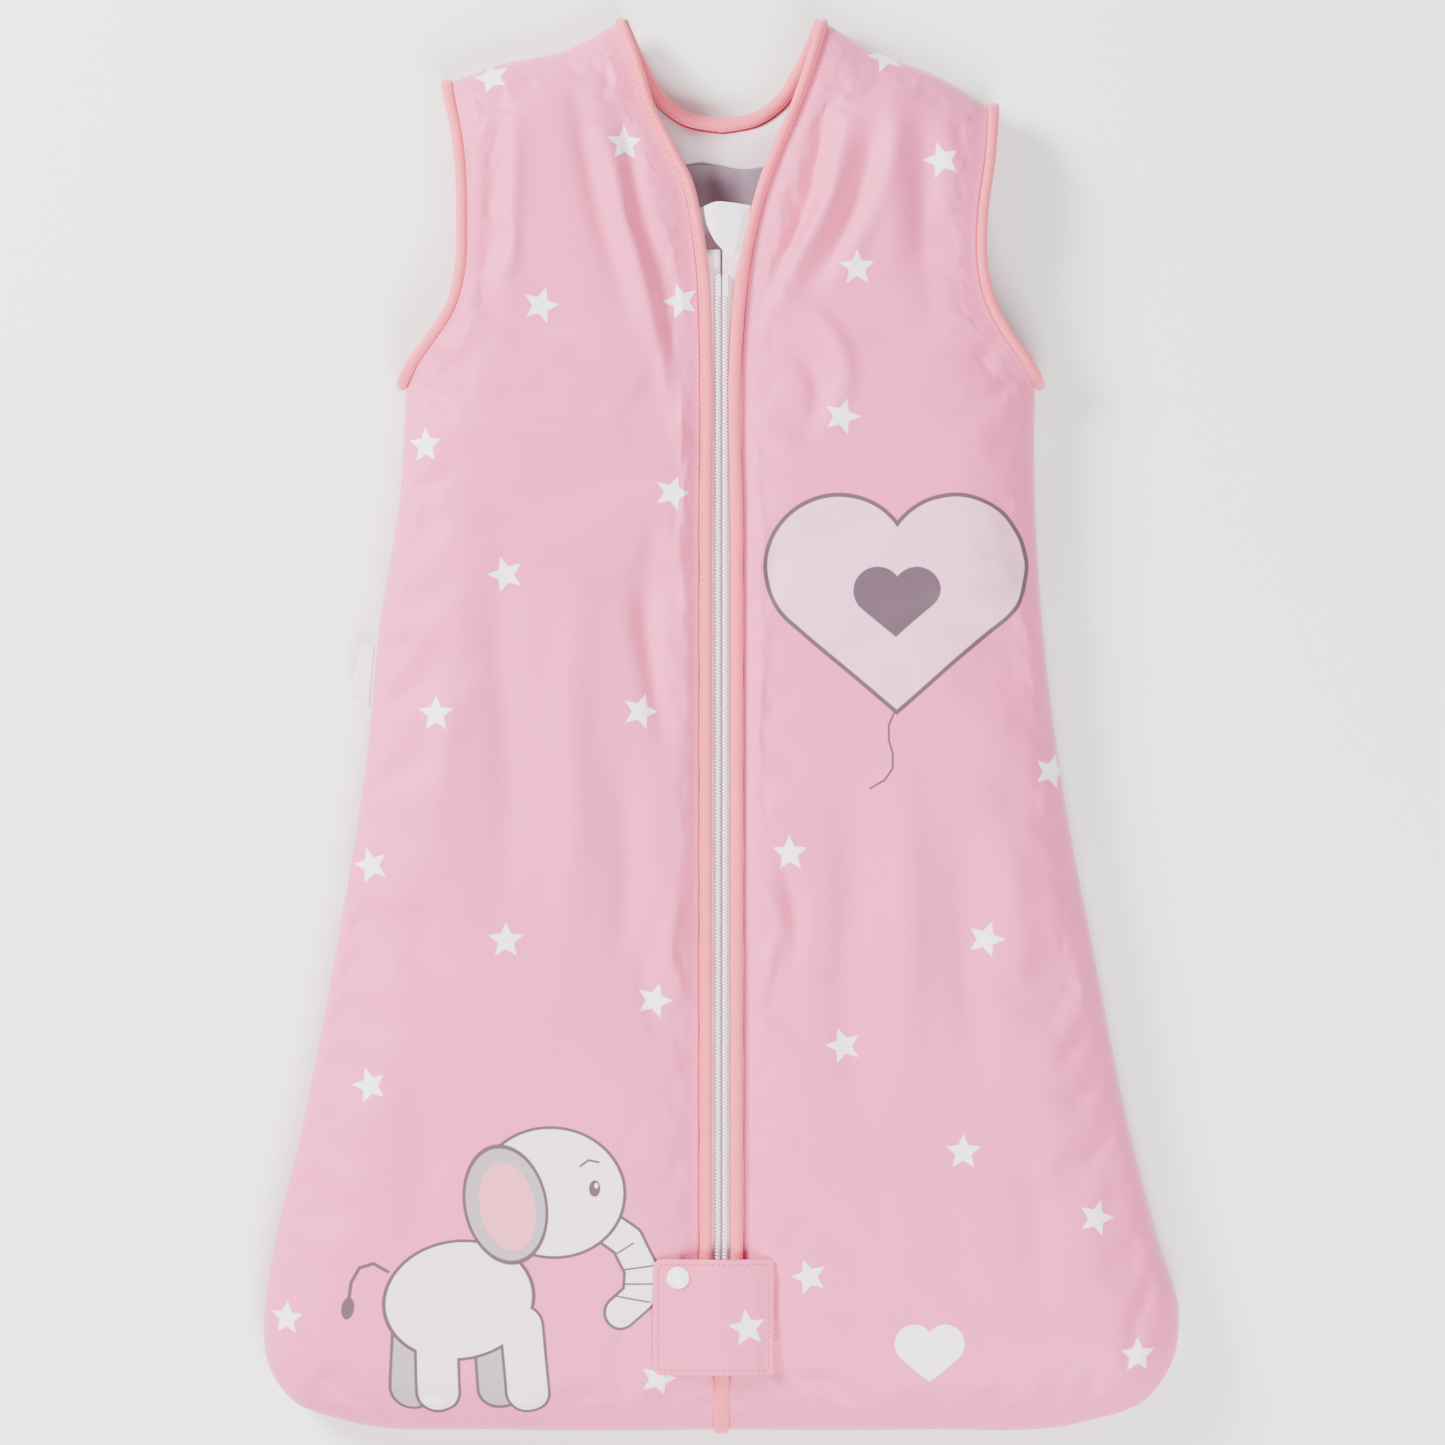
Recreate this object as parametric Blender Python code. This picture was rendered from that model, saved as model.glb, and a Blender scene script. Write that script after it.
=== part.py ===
"""Padded baby sleeping bag with a central separating zip, laid flat on its back.

Metres, +Z up, +X to the right of a viewer who looks down on the front, +Y towards
the head.  The zip is on X = 0 and the back lies on Z = 0.  Lists of plan points are
in millimetres and hold the distance from the zip line first, then Y.
"""
import math

import bmesh
import bpy
from mathutils import Vector

MM = 0.001
LEFT = -1
RIGHT = 1

# --- cloth stack ---------------------------------------------------------------
GAP = 0.0003
SHELL_THICKNESS = 0.0010
LINING_THICKNESS = 0.0010
SEAM_Z = 0.0130
FRONT_TOP_Z = 0.0360
FRONT_UNDER_Z = 0.0240
EDGE_HALF_THICKNESS = 0.0060
TOP_ROLL_RADIUS = 0.040
BACK_ROLL_RADIUS = 0.020
ARMHOLE_ROLL_RADIUS = 0.025

# --- plan of the bag, in millimetres ---------------------------------------------
HEM_Y = -353.0
CORNER = {LEFT: (215.0, -338.0), RIGHT: (212.0, -338.0)}
HEM = {
    LEFT: [(111.0, -353.0), (188.0, -348.5)],
    RIGHT: [(100.0, -353.0), (182.0, -349.0)],
}
SIDE = {
    LEFT: [(227.0, -320.0), (229.0, -300.0), (226.0, -273.0), (209.0, -198.0),
           (192.0, -108.0), (176.0, -3.0), (172.0, 42.0), (160.5, 118.0), (158.0, 168.0)],
    RIGHT: [(226.0, -318.0), (229.0, -295.0), (219.0, -260.0), (203.0, -198.0),
            (188.0, -123.0), (171.0, -33.0), (160.0, 57.0), (156.5, 140.0), (157.0, 168.0)],
}
ARMHOLE = {
    LEFT: [(152.0, 178.0), (143.0, 190.0), (133.0, 205.0), (127.5, 225.0),
           (126.5, 250.0), (128.5, 290.0)],
    RIGHT: [(151.0, 178.0), (142.0, 190.0), (133.0, 205.0), (127.5, 225.0),
            (127.0, 250.0), (131.0, 282.0)],
}
TIP = {LEFT: (135.0, 321.0), RIGHT: (133.5, 309.0)}
SHOULDER = {
    LEFT: [(110.0, 330.0), (78.0, 337.0)],
    RIGHT: [(106.0, 325.0), (73.0, 338.0)],
}
NECK_POINT = (53.0, 350.1)
BACK_NECK = [(42.0, 326.0), (32.0, 310.0), (20.0, 301.0), (0.0, 296.5)]
V_EDGE = [(10.8, 205.0), (12.8, 225.0), (16.8, 250.0), (20.3, 268.0),
          (28.3, 286.0), (36.5, 301.0)]
NECK_EDGE = [(41.9, 304.5), (47.6, 331.0), NECK_POINT]
SEAM_WIDTH = 8.0
CLOTH_END_CLEARANCE = 2.0
CLOTH_NECK_REACH = 0.5
SEAM_NECK_REACH = 0.585

# --- fold lines and zip ----------------------------------------------------------
FOLD_FOOT = (0.0, -262.0)
FOLD_HEAD = (42.0, 315.0)
FOLD_CLEARANCE = 0.4
LAPEL_FOOT_Y = -65.0
FIXED_EDGE_ROWS = (-342.5, -326.0, -304.0, -262.0, -137.5, -66.2, LAPEL_FOOT_Y,
                   20.0, 110.0, 165.0, 182.0, 198.0, 216.0, 240.0, 303.0)
FIXED_ZIP_TOP_Y = -140.0
LAPEL_ZIP_FOOT_Y = -137.5
CLOTH_EDGE_X = 10.8
HEM_JOIN_X = 3.6
HEM_JOIN_TOP_Y = -326.0
ZIP_JOIN_Y = -304.0
BINDING_WIDTH = 6.7
ZIP_FACE_TOP_Y = 229.0
NECK_FACE_Y = 245.0
TAPE_INNER_X = 0.5
TAPE_OUTER_X = 10.2
COIL_INNER_X = 0.5
COIL_OUTER_X = 3.2
COIL_FOOT_Y = -296.0
COIL_HEAD_Y = 212.0
TAPE_HEAD_Y = 224.0
BINDING_TOP_Z = 0.0365
COIL_BAND = (0.0330, 0.0352)
TAPE_BAND = (0.0317, 0.0327)
CATCH_BAND = (0.0329, 0.0353)

# --- slider and its pull ----------------------------------------------------------
SLIDER_Y = -287.0
SLIDER_LENGTH = 9.0
SLIDER_HALF_WIDTH = 3.2
SLIDER_TOP_PLATE = (0.0355, 0.0366)
SLIDER_UNDER_PLATE = (0.0302, 0.0314)
SLIDER_WEB_HALF = 0.2
BRIDGE_HALF_WIDTH = 0.8
BRIDGE_Z = (0.0380, 0.0389)
BRIDGE_LEG = 1.0
PULL_PIVOT_Y = -286.9
PULL_BAND = (0.03695, 0.03775)
PULL_HALF_WIDTH = 2.5
PULL_LENGTH = 17.0
PULL_EYE = (1.2, 5.0)

# --- flap over the foot of the zip -------------------------------------------------
FLAP_X = (-34.0, 26.0)
FLAP_Y = (-322.5, -265.0)
FLAP_PLATEAU_Z = 0.0390
FLAP_CROWN = 0.0022
FLAP_CROWN_HALF = 14.0
FLAP_SEWN_Z = 0.0364
FLAP_CLOTH = 0.0009
SNAP_CENTRE = (-21.5, -274.0)
SNAP_CAP_RADIUS = 0.0056
SNAP_RING_RADIUS = 0.0042
SNAP_BORE_RADIUS = 0.0023
SNAP_STUD_RADIUS = 0.0019
SNAP_SIDES = 28

COLOURS = {
    "pink_jersey": ((0.83, 0.53, 0.63), 0.55),
    "pale_lining": ((0.76, 0.67, 0.72), 0.7),
    "wadding": ((0.9, 0.9, 0.88), 0.9),
    "coral_binding": ((0.92, 0.33, 0.36), 0.6),
    "zip_tape": ((0.86, 0.8, 0.82), 0.75),
    "zip_plastic": ((0.88, 0.84, 0.86), 0.4),
    "snap_plastic": ((0.95, 0.95, 0.93), 0.3),
    "satin_tab": ((0.85, 0.8, 0.83), 0.4),
    "grey_label": ((0.5, 0.45, 0.52), 0.6),
}

for old in list(bpy.data.objects):
    bpy.data.objects.remove(old, do_unlink=True)


# --- materials and objects ---------------------------------------------------------
def make_material(name):
    """A plain Principled material with the colour and roughness of one finish."""
    colour, roughness = COLOURS[name]
    material = bpy.data.materials.new(name)
    material.use_nodes = True
    shader = material.node_tree.nodes["Principled BSDF"]
    shader.inputs["Base Color"].default_value = (*colour, 1.0)
    shader.inputs["Roughness"].default_value = roughness
    shader.inputs["Metallic"].default_value = 0.0
    return material


MATERIALS = {name: make_material(name) for name in COLOURS}


def add_object(name, mesh_data, finish, pivot=(0.0, 0.0, 0.0)):
    """Turn a bmesh in world metres into an object whose origin is at pivot."""
    bmesh.ops.recalc_face_normals(mesh_data, faces=mesh_data.faces)
    bmesh.ops.translate(mesh_data, verts=mesh_data.verts, vec=-Vector(pivot))
    mesh = bpy.data.meshes.new(name)
    mesh_data.to_mesh(mesh)
    mesh_data.free()
    mesh.materials.append(MATERIALS[finish])
    mesh.shade_smooth()
    mesh.set_sharp_from_angle(angle=math.radians(40))
    item = bpy.data.objects.new(name, mesh)
    item.location = pivot
    bpy.context.scene.collection.objects.link(item)
    return item


# --- plan curves --------------------------------------------------------------------
class Path:
    """A plan curve through points, read by the fraction of its points passed."""

    def __init__(self, points):
        self.points = [Vector(point) for point in points]

    def at(self, fraction):
        """Plan point at a fraction, 0 to 1, of the way through the points."""
        last = len(self.points) - 1
        place = min(max(fraction, 0.0), 1.0) * last
        index = min(int(place + 1e-6), last - 1)
        return self.points[index].lerp(self.points[index + 1], place - index)

    def offset(self, distance):
        """The curve moved sideways, to the right of its direction."""
        moved = []
        for index, point in enumerate(self.points):
            before = self.points[max(index - 1, 0)]
            after = self.points[min(index + 1, len(self.points) - 1)]
            along = (after - before).normalized()
            moved.append(point + Vector((along.y, -along.x)) * distance)
        return Path(moved)


class Patch:
    """Plan area between four curves: two rails from hem to head, and both ends."""

    def __init__(self, inner, outer, foot=None, head=None):
        self.inner = inner
        self.outer = outer
        self.foot = foot or Path([inner.at(0), outer.at(0)])
        self.head = head or Path([inner.at(1), outer.at(1)])

    def at(self, u, v):
        """Plan point at u across the patch and v along it."""
        rails = self.inner.at(v).lerp(self.outer.at(v), u)
        ends = self.foot.at(u).lerp(self.head.at(u), v)
        foot = self.inner.at(0).lerp(self.outer.at(0), u)
        head = self.inner.at(1).lerp(self.outer.at(1), u)
        return rails + ends - foot.lerp(head, v)


def mirrored(points, side):
    """Plan points given as distances from the zip line, on one side of it."""
    return [(x * side, y) for x, y in points]


def inset(points, amount):
    """Points that run up one side of the bag, moved in from it."""
    return [(point.x, point.y) for point in Path(points).offset(-amount).points]


def outer_points(side):
    """Hem corner, side, armhole and shoulder tip of one side, from the hem up."""
    return [CORNER[side], *SIDE[side], *ARMHOLE[side], TIP[side]]


def hem_points(side):
    """Hem from the zip line to the corner of one side."""
    return [(HEM_JOIN_X, HEM_Y), *HEM[side], CORNER[side]]


def shoulder_points(side):
    """Shoulder seam from the tip to the neck point of one side."""
    return [TIP[side], *SHOULDER[side], NECK_POINT]


def fold_x(y):
    """Distance of the lapel's fold line from the zip line."""
    (foot_x, foot_y), (head_x, head_y) = FOLD_FOOT, FOLD_HEAD
    return foot_x + (head_x - foot_x) * (y - foot_y) / (head_y - foot_y)


# --- heights ------------------------------------------------------------------------
SEAMS = []
for seam_side in (LEFT, RIGHT):
    side_seam = [CORNER[seam_side], *SIDE[seam_side]]
    for seam in (side_seam, hem_points(seam_side), shoulder_points(seam_side)):
        SEAMS.append([Vector(point) for point in mirrored(seam, seam_side)])


def seam_distance(point):
    """Metres from a plan point to the nearest closed seam of the bag's outline."""
    best = math.inf
    for line in SEAMS:
        for start, end in zip(line, line[1:]):
            along = end - start
            part = (point - start).dot(along) / along.length_squared
            nearest = start + along * min(max(part, 0.0), 1.0)
            best = min(best, (point - nearest).length)
    return best * MM


def roll(distance, radius):
    """Quarter-round rise from 0 at a seam to 1 at one radius from it."""
    part = min(distance / radius, 1.0)
    return math.sqrt(1.0 - (1.0 - part) ** 2)


def front_top(point):
    """Outer face of the front."""
    low = SEAM_Z + EDGE_HALF_THICKNESS
    return low + (FRONT_TOP_Z - low) * roll(seam_distance(point), TOP_ROLL_RADIUS)


def back_under(point):
    """Outer face of the back, which lies on the ground."""
    high = SEAM_Z - EDGE_HALF_THICKNESS
    return high * (1.0 - roll(seam_distance(point), BACK_ROLL_RADIUS))


def level(height):
    """A height that is the same everywhere."""
    return lambda point: height


def raised(surface, amount):
    """A surface moved up by an amount."""
    return lambda point: surface(point) + amount


def stack(under, top):
    """Shell, wadding and lining bands between two faces, named from the top down."""
    return {
        "top": (raised(top, -SHELL_THICKNESS), top),
        "middle": (raised(under, LINING_THICKNESS + GAP), raised(top, -SHELL_THICKNESS - GAP)),
        "bottom": (under, raised(under, LINING_THICKNESS)),
    }


# --- solids ---------------------------------------------------------------------------
def even(t):
    """Evenly spaced rows or columns."""
    return t


def towards_outside(t):
    """Columns that close up towards the outer edge."""
    return math.sin(t * math.pi / 2)


def slab(name, patch, band, finish, columns, rows, across=even):
    """A closed solid over a plan patch, between the two surfaces of a band."""
    under, top = band
    form = bmesh.new()
    bmesh.ops.create_grid(form, x_segments=columns, y_segments=rows, size=0.5)
    plan = {}
    for vert in form.verts:
        plan[vert] = patch.at(across(vert.co.x + 0.5), vert.co.y + 0.5)
    made = bmesh.ops.extrude_face_region(form, geom=form.faces[:], use_keep_orig=True)
    upper = [item for item in made["geom"] if isinstance(item, bmesh.types.BMVert)]
    lower = list(plan)
    by_place = {(round(v.co.x, 5), round(v.co.y, 5)): plan[v] for v in lower}
    for vert in upper:
        point = by_place[(round(vert.co.x, 5), round(vert.co.y, 5))]
        vert.co = (point.x * MM, point.y * MM, top(point))
    for vert in lower:
        point = plan[vert]
        vert.co = (point.x * MM, point.y * MM, under(point))
    return add_object(name, form, finish)


def block_between(form, x_range, y_range, z_range):
    """Add a box, given by plan ranges in millimetres and heights in metres."""
    size = (
        (x_range[1] - x_range[0]) * MM,
        (y_range[1] - y_range[0]) * MM,
        z_range[1] - z_range[0],
    )
    centre = (sum(x_range) / 2 * MM, sum(y_range) / 2 * MM, sum(z_range) / 2)
    made = bmesh.ops.create_cube(form, size=1.0)
    bmesh.ops.scale(form, verts=made["verts"], vec=size)
    bmesh.ops.translate(form, verts=made["verts"], vec=centre)


def bar(name, x_range, y_range, z_range, finish, pivot=(0.0, 0.0, 0.0)):
    """A plain bar as its own object."""
    form = bmesh.new()
    block_between(form, x_range, y_range, z_range)
    return add_object(name, form, finish, pivot)


def outline_plate(name, outline, z_range, finish):
    """A flat plate with a plan outline in millimetres."""
    form = bmesh.new()
    corners = [form.verts.new((x * MM, y * MM, z_range[0])) for x, y in outline]
    face = form.faces.new(corners)
    made = bmesh.ops.extrude_face_region(form, geom=[face], use_keep_orig=True)
    upper = [item for item in made["geom"] if isinstance(item, bmesh.types.BMVert)]
    bmesh.ops.translate(form, verts=upper, vec=(0.0, 0.0, z_range[1] - z_range[0]))
    return add_object(name, form, finish)


def turned(name, profile, centre, finish):
    """A turned piece on a vertical axis; the profile is a closed list of (radius, z)."""
    form = bmesh.new()
    points = [form.verts.new((radius, 0.0, height)) for radius, height in profile]
    edges = [form.edges.new(pair) for pair in zip(points, points[1:] + points[:1])]
    on_axis = [edge for edge in edges if all(vert.co.x == 0.0 for vert in edge.verts)]
    for edge in on_axis:
        form.edges.remove(edge)
    bmesh.ops.spin(
        form,
        geom=form.verts[:] + form.edges[:],
        cent=(0.0, 0.0, 0.0),
        axis=(0.0, 0.0, 1.0),
        angle=math.tau,
        steps=SNAP_SIDES,
        use_merge=True,
    )
    bmesh.ops.remove_doubles(form, verts=form.verts, dist=1e-6)
    place = Vector((centre[0] * MM, centre[1] * MM, 0.0))
    bmesh.ops.translate(form, verts=form.verts, vec=place)
    return add_object(name, form, finish)


def cut(item, cutter):
    """Cut one object with another, which then stays as a hidden guide."""
    modifier = item.modifiers.new("cut", "BOOLEAN")
    modifier.operation = "DIFFERENCE"
    modifier.object = cutter
    cutter.hide_render = True
    cutter.display_type = "WIRE"


# --- the back -------------------------------------------------------------------------
def build_back():
    """Shell, wadding and lining of the back, from side seam to side seam."""
    left = Path(mirrored(outer_points(LEFT), LEFT))
    right = Path(mirrored(outer_points(RIGHT), RIGHT))
    left_hem = mirrored([CORNER[LEFT], *reversed(HEM[LEFT])], LEFT)
    hem = Path(left_hem + mirrored([*HEM[RIGHT], CORNER[RIGHT]], RIGHT))
    neck = mirrored([NECK_POINT, *BACK_NECK], LEFT)
    neck += mirrored([NECK_POINT, *BACK_NECK[:-1]], RIGHT)[::-1]
    left_shoulder = mirrored([TIP[LEFT], *SHOULDER[LEFT]], LEFT)
    right_shoulder = mirrored([TIP[RIGHT], *SHOULDER[RIGHT]], RIGHT)[::-1]
    head = Path(left_shoulder + neck + right_shoulder)
    patch = Patch(left, right, hem, head)
    bands = stack(back_under, level(SEAM_Z))
    layers = (
        ("back_lining", "top", "pale_lining"),
        ("back_wadding", "middle", "wadding"),
        ("back_shell", "bottom", "pink_jersey"),
    )
    columns = len(head.points) - 1
    rows = len(left.points) - 1
    for name, band, finish in layers:
        slab(name, patch, bands[band], finish, columns, rows)
    edge = Path(neck)
    strip = Patch(edge.offset(-GAP / MM), edge.offset(-BINDING_WIDTH))
    band = (raised(back_under, GAP), level(SEAM_Z))
    slab("back_neck_binding", strip, band, "coral_binding", 1, len(neck) - 1)


# --- the fronts -----------------------------------------------------------------------
def word(side):
    """Name of a side."""
    return "left" if side == LEFT else "right"


def fixed_edge(y):
    """Inner edge of the part of a front that stays with the bag."""
    if y <= HEM_JOIN_TOP_Y:
        return (HEM_JOIN_X, y)
    if y < LAPEL_FOOT_Y:
        return (CLOTH_EDGE_X, y)
    return (fold_x(y) + FOLD_CLEARANCE, y)


def front_layers(name, patch, columns, rows, across=even):
    """Shell, wadding and lining over one patch of a front."""
    bands = stack(level(FRONT_UNDER_Z), front_top)
    slab(f"{name}_shell", patch, bands["top"], "pink_jersey", columns, rows, across)
    slab(f"{name}_wadding", patch, bands["middle"], "wadding", columns, rows, across)
    slab(f"{name}_lining", patch, bands["bottom"], "pale_lining", columns, rows, across)


def seam_edges(side):
    """Outline of hem and side in one run, and the same run moved in by the seam's width."""
    outline = hem_points(side) + SIDE[side]
    return outline, inset(outline, SEAM_WIDTH)


def shoulder_inset(side, amount, reach):
    """Shoulder seam moved in by an amount; it ends on the neck edge, reach of the way up it."""
    moved = inset(shoulder_points(side), amount)
    end = Vector(NECK_EDGE[1]).lerp(Vector(NECK_POINT), reach)
    return moved[:-1] + [(end.x, end.y)]


def build_front(side):
    """The part of one front that stays with the bag, outside the fold line."""
    outline = hem_points(side) + SIDE[side]
    edge = inset(outline, SEAM_WIDTH + GAP / MM)
    hem = inset(outline, SEAM_WIDTH + CLOTH_END_CLEARANCE)
    corner = len(hem_points(side)) - 1
    head = shoulder_inset(side, SEAM_WIDTH + CLOTH_END_CLEARANCE, CLOTH_NECK_REACH)
    inner = [fixed_edge(y) for y in FIXED_EDGE_ROWS] + [NECK_EDGE[1], head[-1]]
    outer = edge[corner:] + ARMHOLE[side] + [head[0]]
    patch = Patch(
        Path(mirrored(inner, side)),
        Path(mirrored(outer, side)),
        Path(mirrored([inner[0], *hem[1:corner], edge[corner]], side)),
        Path(mirrored(head[::-1], side)),
    )
    front_layers(f"front_{word(side)}", patch, 6, len(inner) - 1, towards_outside)


def build_seams(side):
    """Closed seams of hem, side and shoulder, which join the front to the back."""
    band = (level(SEAM_Z + GAP), front_top)
    outline, inner = seam_edges(side)
    corner = len(hem_points(side)) - 1
    outer_path = Path(mirrored(outline[corner:], side))
    inner_path = Path(mirrored(inner[corner:], side))
    rows = len(outer_path.points) - 1
    slab(f"{word(side)}_side_seam", Patch(outer_path, inner_path), band, "pink_jersey", 1, rows)
    miter = GAP / MM / 10
    hem_outer = outline[:corner] + [tuple(Vector(outline[corner]).lerp(
        Vector(outline[corner - 1]), miter))]
    hem_inner = inner[:corner] + [tuple(Vector(inner[corner]).lerp(
        Vector(inner[corner - 1]), miter))]
    hem = Patch(Path(mirrored(hem_outer, side)), Path(mirrored(hem_inner, side)))
    slab(f"{word(side)}_hem_seam", hem, band, "pink_jersey", 1, corner)
    shoulder = shoulder_points(side)
    strip = Patch(
        Path(mirrored(shoulder, side)),
        Path(mirrored(shoulder_inset(side, SEAM_WIDTH, SEAM_NECK_REACH), side)),
    )
    slab(f"{word(side)}_shoulder_seam", strip, band, "pink_jersey", 1, len(shoulder) - 1)


def build_lapel(side):
    """The strip of one front between the fold line and the zip."""
    rail = [(CLOTH_EDGE_X, LAPEL_FOOT_Y), *V_EDGE]
    fold = [(fold_x(y) - FOLD_CLEARANCE, y) for _, y in rail]
    patch = Patch(Path(mirrored(rail, side)), Path(mirrored(fold, side)))
    front_layers(f"{word(side)}_lapel", patch, 2, len(rail) - 1)


def binding_foot(point):
    """Lower face of the front binding: shallow over the zip, full depth at the neck."""
    part = min(max((point.y - ZIP_FACE_TOP_Y) / (NECK_FACE_Y - ZIP_FACE_TOP_Y), 0.0), 1.0)
    return COIL_BAND[0] + (FRONT_UNDER_Z - COIL_BAND[0]) * part


def binding_crest(point):
    """Upper face of a binding, a little proud of the cloth."""
    return front_top(point) + BINDING_TOP_Z - FRONT_TOP_Z


def strip_along(points, side):
    """Binding area on the open side of an edge that runs up one front."""
    edge = Path(mirrored(points, side))
    return Patch(edge.offset(-side * GAP / MM), edge.offset(-side * BINDING_WIDTH))


def build_binding(side):
    """Binding along one front edge: on the lapel, below it and above it."""
    name = word(side)
    line = [(CLOTH_EDGE_X, LAPEL_ZIP_FOOT_Y), (CLOTH_EDGE_X, LAPEL_FOOT_Y), *V_EDGE]
    lapel_strip = strip_along(line, side)
    band = (binding_foot, binding_crest)
    slab(f"{name}_front_binding", lapel_strip, band, "coral_binding", 1, len(line) - 1)
    head_strip = strip_along(NECK_EDGE, side)
    head_rows = len(NECK_EDGE) - 1
    head_band = (level(SEAM_Z + GAP), front_top)
    slab(f"{name}_neck_binding", head_strip, head_band, "coral_binding", 1, head_rows)
    foot_x = ordered(side, CLOTH_EDGE_X - BINDING_WIDTH, CLOTH_EDGE_X - GAP / MM)
    y_range = (ZIP_JOIN_Y + 2.0, FIXED_ZIP_TOP_Y)
    z_range = (COIL_BAND[0], BINDING_TOP_Z)
    bar(f"{name}_zip_binding_foot", foot_x, y_range, z_range, "coral_binding")


def armhole_foot(point):
    """Lower face of an armhole's front binding, which comes down to its two ends."""
    low = SEAM_Z + GAP
    part = roll(seam_distance(point), ARMHOLE_ROLL_RADIUS)
    return low + (FRONT_UNDER_Z - low) * part


def build_armhole(side):
    """Binding round one armhole, as its front and its back stretch."""
    edge = Path(mirrored([*ARMHOLE[side], TIP[side]], side))
    strip = Patch(edge.offset(side * GAP / MM), edge.offset(side * BINDING_WIDTH))
    rows = len(edge.points) - 1
    front = (armhole_foot, front_top)
    back = (back_under, level(SEAM_Z))
    slab(f"{word(side)}_armhole_binding_front", strip, front, "coral_binding", 1, rows)
    slab(f"{word(side)}_armhole_binding_back", strip, back, "coral_binding", 1, rows)


# --- the zip --------------------------------------------------------------------------
def ordered(side, low, high):
    """An X range on one side of the zip."""
    return tuple(sorted((side * low, side * high)))


def build_zip(side):
    """Tape and coil of one side: the stretch on the lapel and the fixed foot."""
    tape_x = ordered(side, TAPE_INNER_X, TAPE_OUTER_X)
    coil_x = ordered(side, COIL_INNER_X, COIL_OUTER_X)
    name = word(side)
    foot_y = (COIL_FOOT_Y, FIXED_ZIP_TOP_Y)
    bar(f"{name}_zip_tape", tape_x, (LAPEL_ZIP_FOOT_Y, TAPE_HEAD_Y), TAPE_BAND, "zip_tape")
    bar(f"{name}_zip_coil", coil_x, (LAPEL_ZIP_FOOT_Y, COIL_HEAD_Y), COIL_BAND, "zip_plastic")
    bar(f"{name}_zip_tape_foot", tape_x, foot_y, TAPE_BAND, "zip_tape")
    bar(f"{name}_zip_coil_foot", coil_x, foot_y, COIL_BAND, "zip_plastic")


def build_zip_ends():
    """Bottom stop, insertion pin and retainer box."""
    catch_y = (COIL_HEAD_Y + 0.5, TAPE_HEAD_Y - 0.8)
    stop_y = (COIL_FOOT_Y - 3.0, COIL_FOOT_Y - 0.3)
    bar("zip_bottom_stop", (-3.0, 3.0), stop_y, COIL_BAND, "zip_plastic")
    bar("zip_insertion_pin", (-2.4, -0.5), catch_y, CATCH_BAND, "zip_plastic")
    bar("zip_retainer_box", (0.5, 3.2), catch_y, CATCH_BAND, "zip_plastic")


def build_slider():
    """Slider: two plates round the coil, a web between them and a bridge on top."""
    half = SLIDER_LENGTH / 2
    y_range = (SLIDER_Y - half, SLIDER_Y + half)
    bridge_y = (y_range[0] + 0.5, y_range[1] - 0.5)
    wide = (-SLIDER_HALF_WIDTH, SLIDER_HALF_WIDTH)
    thin = (-SLIDER_WEB_HALF, SLIDER_WEB_HALF)
    narrow = (-BRIDGE_HALF_WIDTH, BRIDGE_HALF_WIDTH)
    sink = 0.0002
    under_top = SLIDER_UNDER_PLATE[1] - sink
    plate_top = SLIDER_TOP_PLATE[1] - sink
    blocks = (
        ("top", wide, y_range, SLIDER_TOP_PLATE),
        ("under", wide, y_range, SLIDER_UNDER_PLATE),
        ("web", thin, (y_range[0] + 1, y_range[1] - 1), (under_top, SLIDER_TOP_PLATE[0] + sink)),
        ("leg_foot", narrow, (bridge_y[0], bridge_y[0] + BRIDGE_LEG), (plate_top, BRIDGE_Z[1])),
        ("leg_head", narrow, (bridge_y[1] - BRIDGE_LEG, bridge_y[1]), (plate_top, BRIDGE_Z[1])),
        ("beam", narrow, (bridge_y[0] + 0.2, bridge_y[1] - 0.2), (BRIDGE_Z[0], BRIDGE_Z[1] - sink)),
    )
    pivot = (0.0, SLIDER_Y * MM, SLIDER_TOP_PLATE[0])
    body = None
    for label, x_range, y_part, z_part in blocks:
        piece_name = "slider_body" if body is None else f"guide_slider_{label}"
        piece = bar(piece_name, x_range, y_part, z_part, "zip_plastic", pivot)
        if body is None:
            body = piece
            continue
        modifier = body.modifiers.new(label, "BOOLEAN")
        modifier.operation = "UNION"
        modifier.object = piece
        piece.hide_render = True
        piece.display_type = "WIRE"


def build_pull():
    """Pull tab, hooked under the slider's bridge by the bar above its eye."""
    bar_half = 0.5
    head_y = PULL_PIVOT_Y + bar_half
    pivot = (0.0, PULL_PIVOT_Y * MM, sum(PULL_BAND) / 2)
    tab = bar(
        "pull_tab",
        (-PULL_HALF_WIDTH, PULL_HALF_WIDTH),
        (head_y - PULL_LENGTH, head_y),
        PULL_BAND,
        "zip_plastic",
        pivot,
    )
    half_eye, eye_length = PULL_EYE
    eye_y = (PULL_PIVOT_Y - bar_half - eye_length, PULL_PIVOT_Y - bar_half)
    eye_z = (PULL_BAND[0] - 0.001, PULL_BAND[1] + 0.001)
    eye = bar("guide_pull_eye", (-half_eye, half_eye), eye_y, eye_z, "zip_plastic", pivot)
    cut(tab, eye)


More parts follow.
